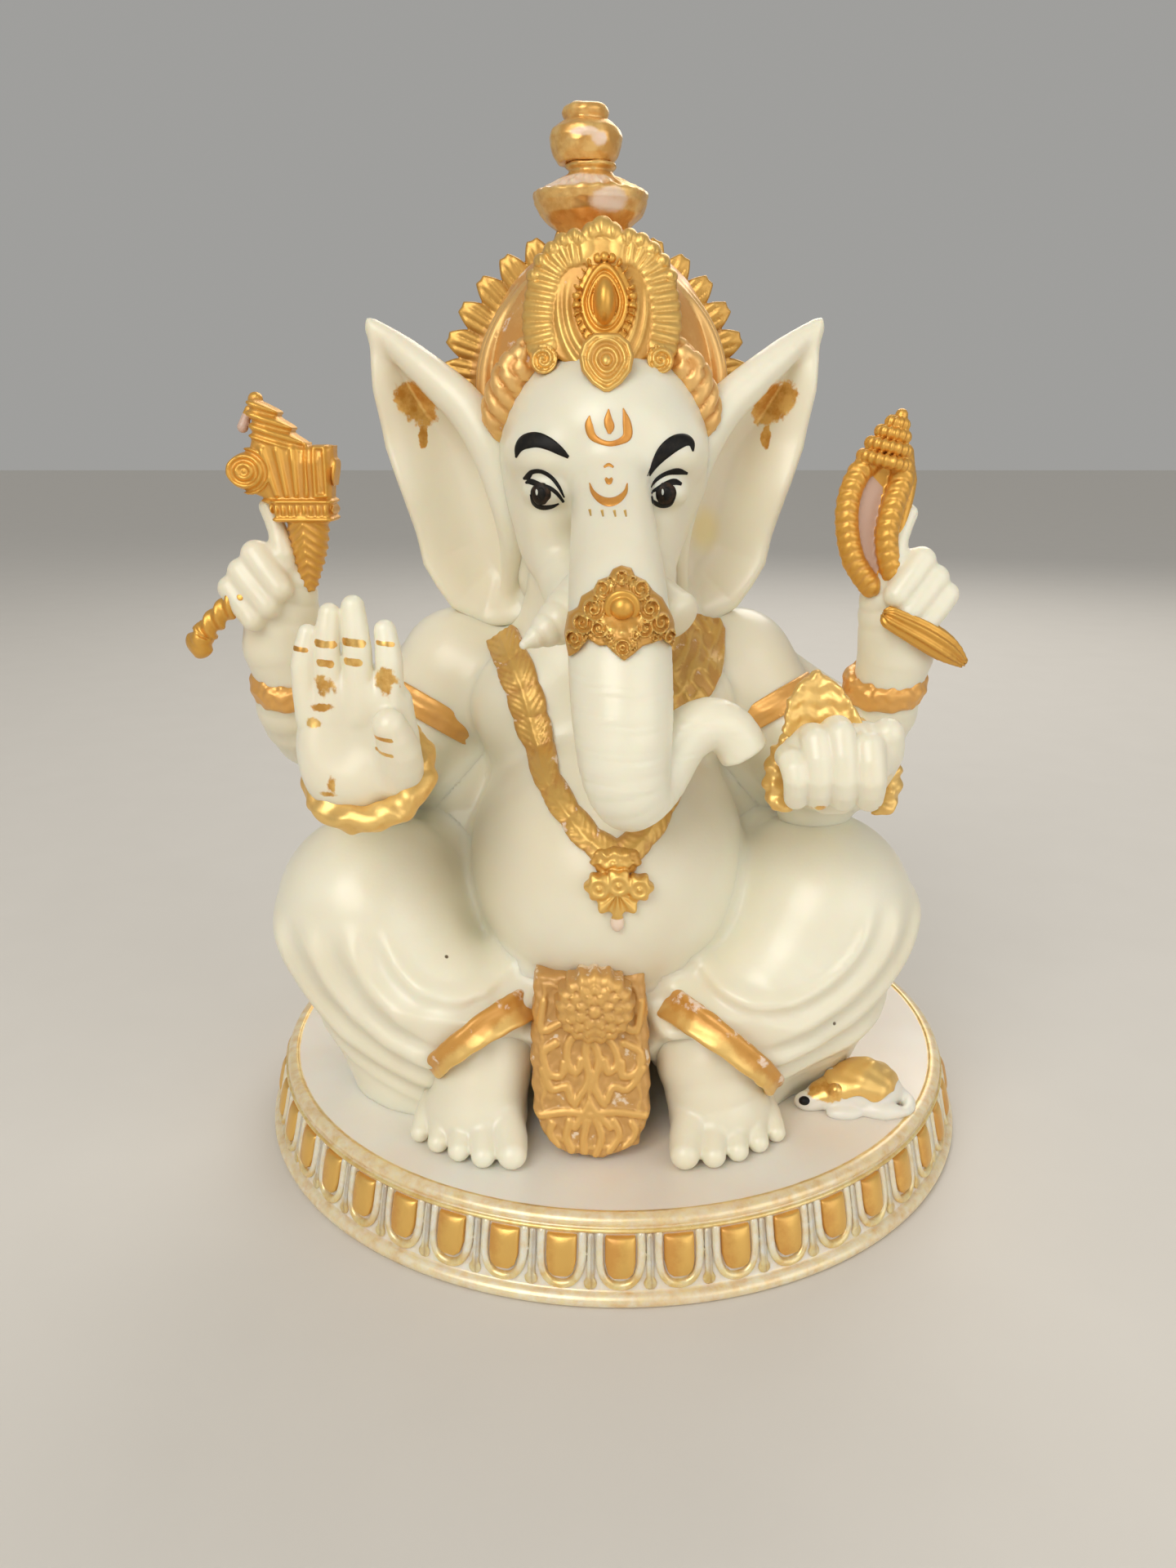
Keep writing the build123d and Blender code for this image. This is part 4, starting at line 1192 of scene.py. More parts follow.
def pendant(p):
    """Three small flowers over a fan and a drop."""
    d = None
    for x, z, r in ((-2.7, 50.5, 1.75), (-0.2, 50.9, 1.9), (2.5, 50.4, 1.7)):
        q = local(p, (x, -38.0, z))
        a = np.arctan2(q[:, 2], q[:, 0])
        rr = np.hypot(q[:, 0], q[:, 2])
        thick = np.abs(q[:, 1]) - 0.75 - 0.5 * bell(rr - 1.1, 0.5) - 0.7 * bell(rr, 0.45)
        petal = meet(0.4, rr - r - 0.22 * np.cos(a * 6), thick)
        d = petal if d is None else join(0.25, d, petal)
    q = local(p, (-0.3, -38.1, 49.9))
    a = np.arctan2(q[:, 0], -q[:, 2])
    rr = np.hypot(q[:, 0], q[:, 2])
    fan = meet(0.4, rr - 3.3 - 0.3 * np.cos(a * 9), np.abs(q[:, 1]) - 0.8 - 0.25 * np.cos(a * 9))
    fan = meet(0.3, fan, np.abs(a) * 2.2 - 2.6)
    d = join(0.3, d, fan, egg(p, (-0.3, -38.3, 45.6), (0.9, 0.8, 1.3)),
        egg(p, (-0.5, -36.9, 53.6), (3.3, 1.3, 1.9)) + lumps(p, 2.4, 0.12))
    return d


def pendant_height(p):
    return np.where(p[:, 2] < 46.2, -3.0, np.clip(0.45 + 0.5 * (-37.8 - p[:, 1]), 0.05, 1))


# ---------------------------------------------------------------- cast body pieces
cast("torso", torso, (-36, -42, 8), (31, 36, 90), 0.62, WHITE)
for o, side in ((-1, "right"), (1, "left")):
    cast(f"{side}_leg", rooted(lambda p, o=o: leg(p, o), torso, 3.0),
         (FX - 50 if o < 0 else FX - 4, -36, 9), (FX + 4 if o < 0 else FX + 50, 24, 58), 0.5, WHITE)
    cast(f"{side}_foot", lambda p, o=o: foot(p, o), (FX + o * 17 - 12, -47, 9), (FX + o * 17 + 12, -21, 36),
         0.3, WHITE)
for label, arm, low, high in (("front_right", front_right_arm, (-46, -46, 48), (-12, 12, 84)),
                              ("front_left", front_left_arm, (10, -46, 48), (41, 12, 84)),
                              ("rear_right", rear_right_arm, (-60, -16, 52), (-12, 16, 84)),
                              ("rear_left", rear_left_arm, (10, -16, 52), (52, 16, 84))):
    cast(f"{label}_arm", rooted(arm, torso), low, high, 0.45, WHITE)


def band_plane(p):
    """Positive below the ornament band that hides the joint between head and trunk."""
    return (p - np.array((-0.3, -37, 84.9), F)) @ np.array((0.0, -0.2, -0.98), F)


def upper_head(p):
    return meet(0.2, head(p), band_plane(p))


def lower_trunk(p):
    """The trunk below its band, with faint rings of creases here and there."""
    rings = np.sin(p[:, 2] * 6.1 + 0.5 * np.sin(p[:, 0] * 1.1))
    crease = rings * step(np.sin(p[:, 2] * 1.7 + p[:, 0] * 0.35 + 1.0), 0.0, 0.6)
    crease = 0.035 * crease * step(p[:, 2], 64, 68) * (1 - step(p[:, 2], 79, 83)) * step(-p[:, 1], 38, 43)
    return meet(0.2, trunk_limb(p) + crease, -band_plane(p))


cast("head", upper_head, (-22, -48, 72), (18, 16, 124), 0.36, WHITE)
cast("trunk", lower_trunk, (-10, -54, 58), (22, -26, 92), 0.3, WHITE)
for o, side in ((-1, "right"), (1, "left")):
    cast(f"{side}_ear", lambda p, o=o: ear(p, o), (-38 if o < 0 else 2, -14, 74),
        (-8 if o < 0 else 33, 6, 126), 0.36, WHITE, gilt=ear_gilt(o), stain=ear_stain if o > 0 else None)

# ---------------------------------------------------------------- hands and what they hold
cast("front_right_hand", front_right_hand, (-42, -50, 58), (-22, -32, 91), 0.26, WHITE, gilt=RIGHT_PALM)
cast("front_left_hand", front_left_hand, (16, -49, 54), (38, -30, 77), 0.26, WHITE, gilt=LEFT_FIST)
cast("rear_right_hand", lambda p: rear_hand(p, -1), (-58, -20, 64), (-40, 0, 100), 0.28, WHITE)
cast("rear_left_hand", lambda p: rear_hand(p, 1), (33, -20, 63), (51, 0, 99), 0.28, WHITE)

cast("goad_head", goad_head, (-55, -17, 83), (-37, -7, 113), 0.2, GOLD_TOOL, relief=goad_height)
cast("goad_tail", goad_tail, (-62.5, -17, 73), (-49, -10, 88), 0.2, GOLD_TOOL)
cast("noose", noose, (28, -17, 82), (43, -7, 111), 0.2, GOLD_TOOL, relief=noose_height)
cast("noose_tail", noose_tail, (35, -19, 72), (51.5, -10, 85), 0.2, GOLD_TOOL)


def palm_bangle(p):
    """The right wrist's bangle, under the raised palm."""
    return bangle(p, (-31.0, -40, 66.3), (-0.107, -0.669, 0.735), 6.6, 1.8, scale=1.0)


def leaf_cuff(p):
    """The left wrist's bangle with the leaf that stands up over the back of the hand."""
    ring = meet(0.6, bangle(p, (26.8, -36.4, 64.2), (-0.1, -0.93, 0.30), 7.3, 1.3), F(60.4) - p[:, 2])
    leaf = meet(0.6, outline(p[:, [0, 2]], [(19.8, 71.2), (20.4, 75.0), (22.6, 77.4), (24.3, 78.3),
        (26.6, 76.8), (28.6, 74.2), (29.8, 71.5), (27, 69), (22, 69)]),
        np.abs(p[:, 1] + 37.4 + 0.08 * (p[:, 0] - 24) ** 2 - 0.2 * (p[:, 2] - 72)) - 0.9)
    return join(0.8, ring, leaf + lumps(p, 1.8, 0.09))


cast("front_right_bangle", palm_bangle, (-41, -49, 57), (-21, -31, 76), 0.25, GOLD)
cast("front_left_bangle", leaf_cuff, (16, -47, 52), (38, -28, 80), 0.25, GOLD)
for o, side, x in ((-1, "right", -48.0), (1, "left", 40.0)):
    cast(f"rear_{side}_bangle", lambda p, x=x, o=o: bangle(p, (x, -7.2, 70.6), (o * -0.1, -0.3, 0.95),
        4.9, 1.25, 1.7, 0.1), (x - 8, -16, 65), (x + 8, 1, 77), 0.28, GOLD_AMBERED)


def armlet(p, o):
    """A flat ribbon round the upper arm, with a crease along it."""
    q = mirrored(p, o, 2 * FX)
    arm = front_right_arm(q)
    level = (q - np.array((-25.3, -9, 65.4), F)) @ np.array((-0.50, -0.25, -0.83), F)
    ribbon = np.maximum(arm - 1.0 - 0.25 * np.cos(level * 2.2) - lumps(q, 1.0, 0.06), -arm - 0.8)
    return meet(0.4, meet(0.4, ribbon, np.abs(level) - 1.9), q[:, 0] + 19.8)


for o, side in ((-1, "right"), (1, "left")):
    low = (-40, -17, 54) if o < 0 else (6, -17, 54)
    cast(f"{side}_armlet", lambda p, o=o: armlet(p, o), low, (low[0] + 28, 11, 80), 0.3, GOLD_AMBERED)

# ---------------------------------------------------------------- crown and ornaments
cast("crown_cap", crown_cap, (-22, -20, 103), (18, 20, 135), 0.34, GOLD_CAP, relief=crown_cap_height)
cast("crown_diadem", diadem, (-15, -21, 112), (11, -6, 135), 0.22, GOLD_CROWN, relief=diadem_height)
cast("crown_gem", gem, (-8, -20, 115), (4, -10, 130), 0.18, GOLD_TOOL)
cast("crown_medallion", medallion, (-7, -26, 109), (4, -14, 121), 0.18, GOLD_CROWN, relief=medallion_height)
cast("crown_aureole", aureole, (-28, 1, 106), (22, 9, 137), 0.3, GOLD_SUN_SHADED, relief=aureole_height)
cast("finial_bowl", finial_bowl, (-13, -5, 129), (6, 15, 144), 0.3, FINIAL, gilt=finial_gilt_and_highlights)
cast("finial_bulb", finial_bulb, (-11, -2, 140), (3, 12, 151), 0.25, FINIAL, gilt=finial_gilt_and_highlights)
cast("trunk_band", trunk_band, (-11, -49, 77), (11, -26, 97), 0.2, GOLD_CROWN, relief=trunk_band_height)
cast("trunk_boss", trunk_boss, (-4, -48.5, 83), (4, -41, 92), 0.16, GOLD_TOOL)
cast("necklace", chain, (-22, -43, 52), (15, -8, 87), 0.25, GOLD_CHAIN, relief=chain_height)
cast("collar_patch", collar_patch, (5, -30, 66), (18, -3, 89), 0.22, GOLD_CHAIN, relief=collar_height)
cast("pendant", pendant, (-7, -43, 44), (6, -35, 58), 0.16, GOLD_CROWN, relief=pendant_height)


# ---------------------------------------------------------------- apron, cuffs, mouse, tusks
def apron_depth(p):
    return -35.6 - (36 - p[:, 2]) * 0.225 + 0.012 * (p[:, 0] + 3.7) ** 2


APRON_LINES = [
    [(0, 29), (0.9, 26), (0.4, 22.5), (2.0, 19.5)],
    [(1.2, 29.5), (3.0, 27.5), (3.4, 25.0), (2.2, 23.8), (1.6, 25.4)],
    [(3.6, 30.5), (6.4, 29.2), (6.6, 33.0)],
    [(4.6, 27.6), (6.6, 26.2), (6.0, 23.6), (4.2, 23.2), (3.9, 25.0)],
    [(6.8, 24), (5.2, 21.4), (3.2, 21.8), (2.4, 20)],
    [(-0.5, 18.1), (3.4, 18.4), (7.4, 17.6)],
    [(0.6, 17.4), (1.2, 15), (0.8, 12.8)],
    [(3.0, 17.2), (3.6, 15.2), (2.6, 13.2)],
    [(5.4, 16.8), (5.8, 15.4), (4.6, 13.6)],
    [(0, 22.5), (-0.2, 20.0), (2.4, 16.4)],
]


def apron_plan(p):
    x, z = p[:, 0] + F(3.7), p[:, 2]
    u = np.abs(x + 0.25 * np.sin(z * 0.7))
    # The edge wanders a little, as a hand-cut cloth's does.
    flat = outline(np.stack([x, z], 1), [
        (-7.6, 36.4), (7.2, 36.6), (7.7, 30), (7.9, 24), (7.9, 17), (6.4, 13.8), (2, 12.2), (-2.4, 12.4),
        (-6.0, 14.2), (-7.7, 18.2), (-8.1, 26), (-7.8, 32)])
    flat = 0.25 * np.sin(z * 1.9 + 0.6 * x) * np.sin(x * 1.3) + flat
    tall = np.zeros(len(p))
    for line in APRON_LINES:
        d, _ = flat_path(u, z, line)
        tall = np.maximum(tall, ridge(d, 0.62))
    tall = np.maximum(tall, ridge(flat + 1.3, 0.35) * 0.6)
    weave = np.sin(p[:, 0] * 2.3 + np.sin(z * 1.9)) * np.sin(z * 2.1 + 1.3 * np.sin(p[:, 0] * 1.7))
    return flat, np.maximum(tall, 0.45 * (0.5 + 0.5 * weave))


def apron(p):
    flat, tall = apron_plan(p)
    front = apron_depth(p)
    d = meet(0.7, flat, np.maximum(front - 0.5 * tall - p[:, 1], p[:, 1] - front - 6) * F(0.9))
    return meet(0.3, d, F(11.4) - p[:, 2])


def apron_height(p):
    return apron_plan(p)[1] * 1.1 - 0.05


def flower_dome(p):
    """Points from the flower's middle, their distance from its axis and the height of its plain dome."""
    q = p - np.array((-3.2, -37.8, 33.4), F)
    r = np.hypot(q[:, 0], q[:, 2])
    return q, r, 1.6 * ridge(r, 5.4)


def apron_flower(p):
    q, r, dome = flower_dome(p)
    a = np.arctan2(q[:, 0], q[:, 2])
    for ring, n in ((4.4, 17), (3.1, 13), (1.8, 8)):
        tip = ((a * n / (2 * np.pi) + 0.5 * (n % 2)) % 1 - 0.5) * 2
        dome = dome + 0.5 * ridge(r - ring - 0.2 + 0.5 * np.abs(tip), 0.75) * (1 - 0.5 * np.abs(tip))
    dome = dome + 0.5 * ridge(r, 0.9)
    edge = r - 5.2 - 0.25 * np.cos(a * 17)
    return meet(0.4, edge, np.maximum(-q[:, 1] - 0.4 - dome, q[:, 1] - 2.5) * F(0.8))


def apron_flower_height(p):
    q, _, dome = flower_dome(p)
    return np.clip(0.2 + 1.1 * (-q[:, 1] - 0.4 - dome), 0.0, 1.0)


# Each ankle cuff's centre, radius and axis.
CUFFS = {-1: ((-18.7, -31.4, 25.3), 7.9, (0.55, -0.42, -0.70)),
         1: ((13.9, -31.4, 24.2), 9.6, (-0.60, -0.40, -0.69))}


def cuff(p, o):
    """The gilded hem at the ankle: a flat band, wider at its inner end."""
    c, major, normal = CUFFS[o]
    q = local(p, c, facing(normal))
    wide = 1.8 + 0.5 * np.clip(-o * (p[:, 0] - c[0]) / major, -1, 1)
    ring = np.hypot(q[:, 0], q[:, 1]) - F(major)
    d = np.hypot(np.maximum(np.abs(q[:, 2]) - (wide - 0.5), 0), np.maximum(np.abs(ring) - 0.15, 0)) - 0.5
    roll = np.hypot(ring - 0.25, q[:, 2] + wide - 0.3) - 0.7
    return join(0.5, d, roll) + lumps(p, 1.0, 0.06)


# Amber along each cuff's upper edge and rolled hem, bright gold over its lower part: the bright lower part is
# a painted highlight.
def cuff_highlight(o):
    c, _, normal = CUFFS[o]

    def height(p):
        return np.clip(0.35 + 0.5 * local(p, c, facing(normal))[:, 2], 0.0, 1.1)
    return height


def mouse_body(p):
    d = join(1.5, egg(p, (36.4, -25.5, 13.4), (5.8, 4.2, 3.8)),
        egg(p, (31.4, -26.6, 13.2), (3.4, 2.6, 2.3)))
    d = join(0.8, d, egg(p, (28.4, -27.4, 12.6), (2.3, 1.6, 1.5)), ball(p, (32.0, -24.8, 15.4), 0.9),
        ball(p, (31.8, -28.4, 15.0), 0.9))
    d = join(1.0, d, limb(p, [(40.8, -24.5, 12.6), (43.0, -26.6, 12.0), (42.0, -29.2, 11.9),
        (38.6, -30.2, 11.9)], [1.4, 1.0, 0.8, 0.6], 3))
    d = join(0.8, d, egg(p, (33.0, -29.6, 11.9), (2.6, 1.3, 1.1)),
        egg(p, (38.4, -29.4, 12.1), (2.9, 1.4, 1.4)))
    return meet(0.3, d, F(PLINTH_TOP) - p[:, 2])


def mouse_gilt(p):
    """Gold on the mouse's brow."""
    brow = 1.2 - np.linalg.norm((p - np.array((30.6, -27.8, 14.8))) / np.array((2.6, 2.6, 1.3)),
        axis=1) * 0.6
    return np.clip(brow, 0, 1)


def mouse_nose(p):
    return egg(p, (27.4, -28.4, 13.2), (0.85, 0.7, 0.65))


def mouse_saddle(p):
    hide = join(1.5, egg(p, (36.4, -25.5, 13.8), (5.4, 4.5, 4.3)),
        egg(p, (32.4, -26.4, 13.8), (2.2, 2.4, 2.3))) + lumps(p, 1.0, 0.12)
    return meet(0.4, hide, F(14.1) - p[:, 2] + 0.5 * np.sin(p[:, 0] * 1.3))


cast("apron", apron, (-14, -46, 10), (7, -28, 38), 0.24, GOLD_CLOTH, relief=apron_height)
cast("apron_flower", apron_flower, (-10, -42, 26), (4, -34, 40), 0.2, GOLD_CLOTH,
    relief=apron_flower_height)
for o, side in ((-1, "right"), (1, "left")):
    x = FX + o * 16
    cast(f"{side}_ankle_cuff", lambda p, o=o: cuff(p, o), (x - 14, -46, 12), (x + 12, -20, 38), 0.25,
        GOLD, relief=cuff_highlight(o))
cast("mouse", mouse_body, (24, -34, 10), (46, -19, 19), 0.24, WHITE_BASE, gilt=mouse_gilt)
nose = mesh_object("mouse_nose_paint", *net(mouse_nose, (25, -30, 11), (29, -26, 15), 0.15))
finish_piece(nose, INK, [])
cast("mouse_saddle", mouse_saddle, (27, -31, 12), (43, -19, 20), 0.24, GOLD)


def right_tusk(p):
    return limb(p, [(-4.2, -27.5, 85.6), (-7.8, -31.4, 83.5), (-12.0, -35.2, 81.3)], [4.2, 2.9, 0.6], 3)


def left_tusk(p):
    """The broken tusk, a short rounded stub."""
    d = limb(p, [(3.0, -27.0, 86.0), (6.8, -30.8, 84.3)], [3.9, 3.3], 1)
    return meet(1.8, d, (p - np.array((8.0, -32.2, 83.6), F)) @ np.array((0.6, -0.6, -0.5), F))


cast("right_tusk", right_tusk, (-14, -38, 76), (2, -20, 95), 0.22, WHITE)
cast("left_tusk_stub", left_tusk, (-3, -38, 78), (13, -20, 95), 0.22, WHITE, name="left_tusk_cast")


# ---------------------------------------------------------------- plinth
def rounded(profile, r):
    """A profile with each corner turned into a short curve."""
    out = [profile[0]]
    for a, b, c in zip(profile, profile[1:], profile[2:]):
        a, b, c = (np.array(t, float) for t in (a, b, c))
        la, lc = np.linalg.norm(a - b), np.linalg.norm(c - b)
        s, e = b + (a - b) * min(r, la * 0.45) / la, b + (c - b) * min(r, lc * 0.45) / lc
        out += [s, 0.25 * s + 0.5 * b + 0.25 * e, e]
    return out + [profile[-1]]


def lathe(profile, segments=240):
    """Points and quads of a form turned about the upright axis."""
    profile = np.array(profile, float)
    angle = np.arange(segments) * 2 * np.pi / segments
    points = np.stack([profile[:, :1] * np.cos(angle), profile[:, :1] * np.sin(angle),
                       np.repeat(profile[:, 1:], segments, 1)], -1).reshape(-1, 3)
    n = len(profile)
    i, j = np.meshgrid(np.arange(n - 1), np.arange(segments), indexing="ij")
    k = (j + 1) % segments
    return points, np.stack([i * segments + j, i * segments + k, (i + 1) * segments + k,
        (i + 1) * segments + j], -1).reshape(-1, 4)


# Radius and height. It starts and ends a hair off the axis, where quads would collapse.
PLINTH = [(0.02, 0), (55.2, 0), (55.9, 0.4), (56.05, 1.3), (55.5, 1.9), (54.9, 2.0), (54.7, 2.4),
    (53.1, 9.5), (53.6, 9.7), (53.6, 10.1), (53.0, 10.3), (53.3, 10.7), (53.1, 11.3), (52.4, 11.7),
    (51.7, 11.75), (51.5, 11.5), (0.02, 11.5)]
points, quads = lathe(rounded(PLINTH, 0.3))
plinth = mesh_object("plinth_cast", points, quads)
radius = np.hypot(points[:, 0], points[:, 1])
height = points[:, 2]
band = (height > 2.2) & (height < 9.4) & (radius > 51)
rim = 0.56 + 0.35 * (radius < 51.8) + 0.3 * (np.abs(height - 9.85) < 0.35) - 0.04 * (height < 2.2)
tag(plinth, "gilt", np.where(radius < 51.3, 0.0, np.where(band, 0.30, rim)))
tag(plinth, "relief", np.full(len(points), 0.5))
finish_piece(plinth, WASHED, ["plinth"])


PETALS = 45
PETAL_HALF = 3.72              # half the space that one petal has


def around_plinth(points, quads, count):
    """Copies of one petal all the way round."""
    every, faces = [], []
    for i in range(count):
        every.append(points @ spin((0, 0, 360 * i / count)).T)
        faces.append(quads + i * len(points))
    return np.concatenate(every), np.concatenate(faces)


def band_face(p):
    """Depth outward of the sloping band's face, for a petal at the front."""
    return -(F(54.75) - (p[:, 2] - 2.3) * F(0.225)) + (p[:, 0] ** 2) / F(107)


def tongue(p):
    flat = outline(p[:, [0, 2]], [(-1.95, 9.2), (1.95, 9.2), (1.95, 5.9), (1.6, 4.6), (0.8, 3.9),
        (-0.8, 3.9), (-1.6, 4.6), (-1.95, 5.9)])
    round_x = np.clip(1 - (p[:, 0] / 2.0) ** 2, 0, 1) ** 0.5
    swell = 0.2 + 0.85 * round_x * np.clip(1 - ((p[:, 2] - 6.6) / 2.75) ** 4, 0, 1) ** 0.5
    return meet(0.25, flat, np.maximum(band_face(p) - swell - p[:, 1], p[:, 1] - band_face(p) - 1))


def arch(p):
    u = np.stack([np.abs(p[:, 0]), p[:, 2]], 1)
    frame_line, _ = flat_path(u[:, 0], u[:, 1], [(2.6, 9.4), (2.62, 6.0), (2.2, 4.2), (1.2, 3.1),
        (-0.3, 2.8)])
    half_dart, _ = flat_path(PETAL_HALF - u[:, 0], u[:, 1], [(0.0, 9.2), (0.0, 6.5), (0.0, 3.6)])
    foot_dart = np.hypot(PETAL_HALF - u[:, 0], u[:, 1] - 3.1) - 0.5
    deep = p[:, 1] - band_face(p) + 0.12
    d = np.hypot(np.maximum(frame_line, 0), deep) - 0.52
    d = join(0.2, d, np.hypot(np.maximum(half_dart - 0.1, 0), deep) - 0.33,
        np.hypot(np.maximum(foot_dart, 0), deep) - 0.25)
    return d


for node, field, material in (("plinth_tongues", tongue, GOLD_PLINTH), ("plinth_arches", arch, WASHED)):
    points, quads = net(field, (-PETAL_HALF, -56.5, 1.8), (PETAL_HALF, -51.5, 10.2), 0.25)
    points, quads = around_plinth(points, quads, PETALS)
    petals = mesh_object(f"{node}_cast", points, quads)
    tag(petals, "relief", 0.55 + 0.35 * np.sin(np.arctan2(points[:, 1], points[:, 0]) * PETALS + np.pi / 2))
    tag(petals, "gilt", 0.42 + 0.3 * (1 - step(points[:, 2], 3.4, 5.4)))
    print(node, len(points), flush=True)
    finish_piece(petals, material, [node])


# ---------------------------------------------------------------- brushed paint on the face
def surface(obj):
    """A piece's skin in millimetres, for rays to hit."""
    verts = [v.co / MM for v in obj.data.vertices]
    return BVHTree.FromPolygons(verts, [tuple(f.vertices) for f in obj.data.polygons])


def stroke(tree, points, widths, lift=0.07, n=5, across=7):
    """One brush stroke laid on a surface: points are X and Z, seen from the front."""
    path = smooth_path([(x, 0, z) for x, z in points], widths, n)
    ring = []
    for i, (x, _, z, w) in enumerate(path):
        a, b = path[max(i - 1, 0)], path[min(i + 1, len(path) - 1)]
        side = np.array((-(b[2] - a[2]), b[0] - a[0]))
        side /= np.linalg.norm(side) + 1e-9
        top, under = [], []
        for k in range(across):
            t = 2 * k / (across - 1) - 1
            px, pz = x + side[0] * t * w / 2, z + side[1] * t * w / 2
            hit, normal, _, _ = tree.ray_cast(Vector((px, -70, pz)), Vector((0, 1, 0)))
            if hit is None:
                return None, None
            dome = lift * (1 - t * t) ** 0.5 * min(1, w / 0.3) + 0.015
            top.append(hit + normal * dome)
            under.append(hit - normal * 0.15)
        ring.append(top + under[::-1])
    m = 2 * across
    faces = []
    for i in range(len(ring) - 1):
        for k in range(m):
            j = (k + 1) % m
            faces.append((i * m + k, i * m + j, (i + 1) * m + j, (i + 1) * m + k))
    for base, flip in ((0, 1), ((len(ring) - 1) * m, 0)):
        for k in range(across - 1):
            cap = (base + k, base + k + 1, base + m - 2 - k, base + m - 1 - k)
            faces.append(cap if flip else cap[::-1])
    return [v for r in ring for v in r], faces


def strokes(name, rows, material, *nodes, lift=0.07):
    """Several brush strokes on the head as one piece."""
    points, faces = [], []
    for line, widths in rows:
        p, f = stroke(head_skin, line, widths, lift)
        if p is None:
            print("missed", name, line)
            continue
        faces += [tuple(len(points) + i for i in face) for face in f]
        points += p
    obj = mesh_object(name, np.array([tuple(v) for v in points]), faces)
    tag(obj, "relief", np.full(len(points), 0.6))
    return finish_piece(obj, material, nodes)


head_skin = surface(bpy.data.objects["head_cast"])
strokes("right_brow_paint", [
    ([(-13.5, 103.2), (-13.1, 104.4), (-12.2, 105.2), (-10.7, 105.45), (-9.1, 104.95), (-7.7, 104.1),
      (-6.6, 103.3)],
     [0.25, 1.2, 1.85, 1.9, 1.6, 1.1, 0.4])], INK)
strokes("left_brow_paint", [
    ([(9.5, 104.0), (9.3, 105.0), (8.4, 105.4), (7.0, 105.0), (5.6, 103.9), (4.5, 102.4), (3.8, 101.0)],
     [0.25, 0.95, 1.6, 2.0, 1.8, 1.0, 0.2]),
    ([(5.2, 103.7), (4.1, 102.2), (3.5, 101.0)], [0.25, 0.2, 0.1])], INK)
strokes("right_lid_paint", [
    ([(-12.6, 100.5), (-12.0, 100.8), (-11.4, 101.4), (-10.2, 101.5), (-8.9, 100.8), (-7.9, 99.6),
      (-7.2, 98.2)],
     [0.3, 0.8, 0.62, 0.55, 0.52, 0.45, 0.2]),
    ([(-12.3, 100.0), (-11.6, 100.2), (-10.3, 99.8), (-9.0, 99.4), (-8.1, 98.7), (-7.3, 97.6)],
     [0.25, 0.75, 0.66, 0.55, 0.5, 0.35]),
    ([(-11.6, 98.6), (-11.2, 97.4), (-10.2, 96.9), (-8.9, 97.0), (-7.9, 97.4)],
     [0.25, 0.6, 0.68, 0.55, 0.2])], INK)
strokes("left_lid_paint", [
    ([(4.0, 99.6), (4.9, 100.6), (6.2, 101.3), (7.6, 101.5), (8.9, 101.2)], [0.2, 0.5, 0.6, 0.85, 0.35]),
    ([(4.0, 98.9), (5.0, 99.4), (6.2, 100.0), (7.2, 100.2), (8.1, 99.9)], [0.25, 0.55, 0.7, 0.8, 0.4]),
    ([(4.0, 98.6), (4.3, 97.8), (5.4, 97.2), (6.6, 97.3), (7.2, 98.3)], [0.25, 0.5, 0.68, 0.6, 0.3])], INK)
for side, x, z in (("right", -10.25, 98.7), ("left", 6.05, 98.75)):
    iris = [(x, z + 1.35), (x, z + 0.7), (x, z), (x, z - 0.7), (x + 0.1, z - 1.35)]
    strokes(f"{side}_eye_paint", [(iris, [1.1, 2.35, 2.7, 2.35, 1.1])], IRIS, f"{side}_eye", lift=0.12)
    strokes(f"{side}_pupil_paint", [([(x + 0.1, z + 0.75), (x + 0.1, z), (x + 0.1, z - 0.75)],
        [0.6, 1.5, 0.6])], INK, lift=0.2)
    # The glint is a painted highlight: a small white stroke on each iris where a lamp would reflect.
    strokes(f"{side}_glint_paint", [([(x - 0.5, z + 0.55), (x - 0.45, z + 0.2), (x - 0.45, z - 0.15)],
        [0.2, 0.42, 0.2])], WHITE, lift=0.26)
strokes("brow_mark_paint", [
    ([(-3.9, 108.4), (-4.0, 107.3), (-3.6, 106.0), (-2.6, 105.3), (-1.3, 105.0), (0.0, 105.3),
      (0.9, 106.0), (0.8, 107.6), (0.35, 109.3)],
     [0.15, 1.0, 1.0, 0.7, 0.65, 0.8, 1.2, 1.05, 0.15]),
    ([(-1.5, 109.2), (-1.55, 107.9), (-1.35, 107.0), (-1.4, 106.2)], [0.15, 1.05, 1.2, 0.4])],
    GOLD_MARK, lift=0.12)
strokes("crescent_mark_paint", [
    ([(-3.9, 100.3), (-3.5, 99.3), (-2.6, 98.5), (-1.5, 98.2), (-0.4, 98.5), (0.5, 99.3), (0.8, 100.3)],
     [0.15, 0.55, 0.85, 1.0, 0.85, 0.55, 0.15]),
    ([(-1.9, 100.9), (-1.5, 100.5), (-1.1, 100.9)], [0.35, 0.7, 0.35]),
    ([(-2.1, 102.2), (-1.5, 102.5), (-0.9, 102.2)], [0.25, 0.4, 0.25])], GOLD_MARK, lift=0.1)
strokes("dash_paint", [
    ([(x, 97.3), (x + 0.15, 96.6)], [0.35, 0.2]) for x in (-3.9, -2.4, -0.9, 0.4)], GOLD_CHAIN, lift=0.04)


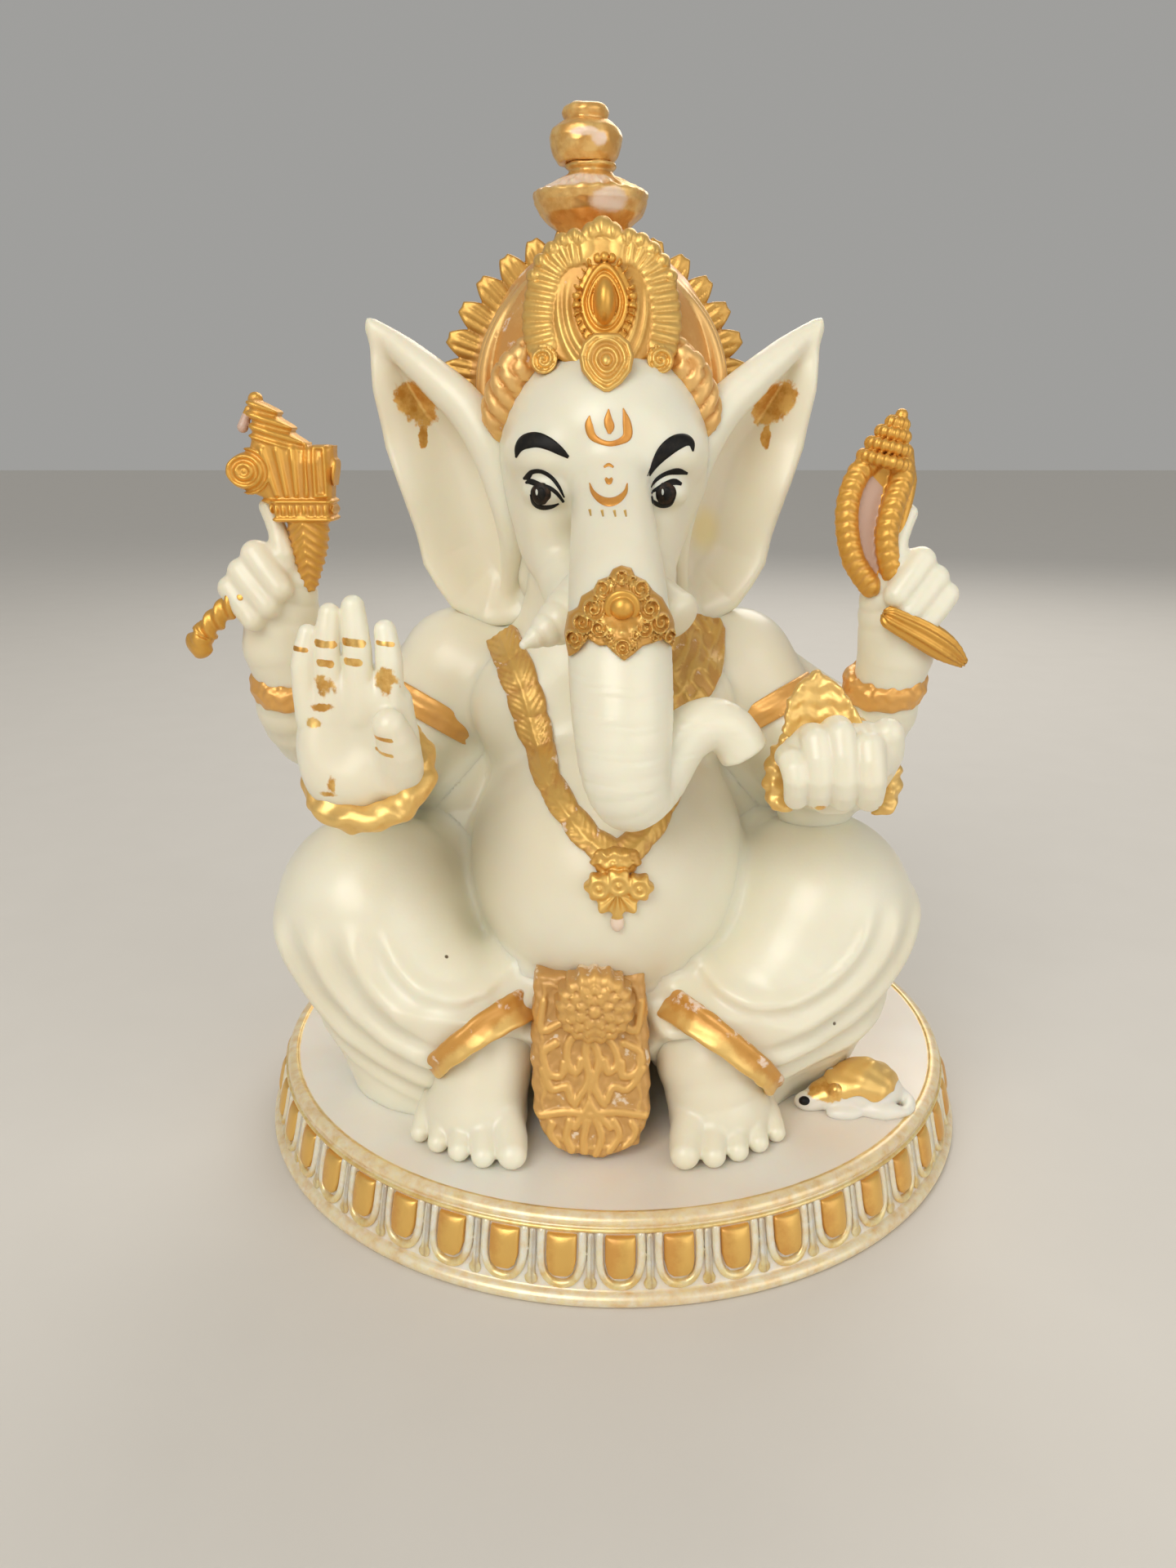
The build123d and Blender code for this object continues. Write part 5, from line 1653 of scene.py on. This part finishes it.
# ---------------------------------------------------------------- floor, light and camera
FLOOR = 3.0                    # half the floor's width, in metres
floor_mesh = bpy.data.meshes.new("floor")
floor_mesh.from_pydata([(-FLOOR, -FLOOR, 0), (FLOOR, -FLOOR, 0), (FLOOR, FLOOR, 0), (-FLOOR, FLOOR, 0)], [],
                       [(0, 1, 2, 3)])
floor = bpy.data.objects.new("floor", floor_mesh)
bpy.context.scene.collection.objects.link(floor)
mat, tree, where = start("floor_paint")
grain = noise(tree, where, 60, 3)
end(tree, add(tree, "ShaderNodeBsdfPrincipled", {
    "Base Color": blend(tree, grain, (0.68, 0.65, 0.60), (0.71, 0.68, 0.63)), "Roughness": 0.7}))
floor_mesh.materials.append(mat)


def lamp(name, place, target, size, watts, colour):
    data = bpy.data.lights.new(name, "AREA")
    data.energy = watts
    data.shape = "DISK"
    data.size = size
    data.color = colour
    obj = bpy.data.objects.new(name, data)
    obj.location = place
    obj.rotation_euler = (Vector(target) - Vector(place)).to_track_quat("-Z", "Y").to_euler()
    bpy.context.scene.collection.objects.link(obj)


lamp("key_light", (-0.24, -0.50, 0.42), (0, 0, 0.06), 0.45, 1.95, (1.0, 0.965, 0.91))
lamp("fill_light", (0.46, -0.42, 0.24), (0, 0, 0.06), 0.6, 1.15, (1.0, 0.98, 0.95))
lamp("back_light", (0.15, 0.50, 0.50), (0, 0, 0.08), 0.5, 1.6, (1.0, 0.95, 0.88))

# A weak even light keeps the far floor as pale as the wall.
sun = bpy.data.lights.new("even_light", "SUN")
sun.energy = 0.3
sun.angle = 0.6
even = bpy.data.objects.new("even_light", sun)
even.rotation_euler = (math.radians(38), 0, math.radians(-20))
bpy.context.scene.collection.objects.link(even)

world = bpy.data.worlds.new("studio")
world.use_nodes = True
world.node_tree.nodes["Background"].inputs["Color"].default_value = (0.92, 0.91, 0.88, 1)
world.node_tree.nodes["Background"].inputs["Strength"].default_value = 0.38
bpy.context.scene.world = world

LENS, SENSOR = 27.18, 36.0     # millimetres
LOOK_DOWN = 16.77              # degrees
CAMERA_PLACE = (-0.0041, -0.180, 0.107)
eye = bpy.data.cameras.new("camera")
eye.lens = LENS
eye.sensor_width = SENSOR
viewer = bpy.data.objects.new("camera", eye)
viewer.location = CAMERA_PLACE
viewer.rotation_euler = (math.radians(90 - LOOK_DOWN), 0, 0)
bpy.context.scene.collection.objects.link(viewer)
scene = bpy.context.scene
scene.camera = viewer
scene.view_settings.view_transform = "Standard"
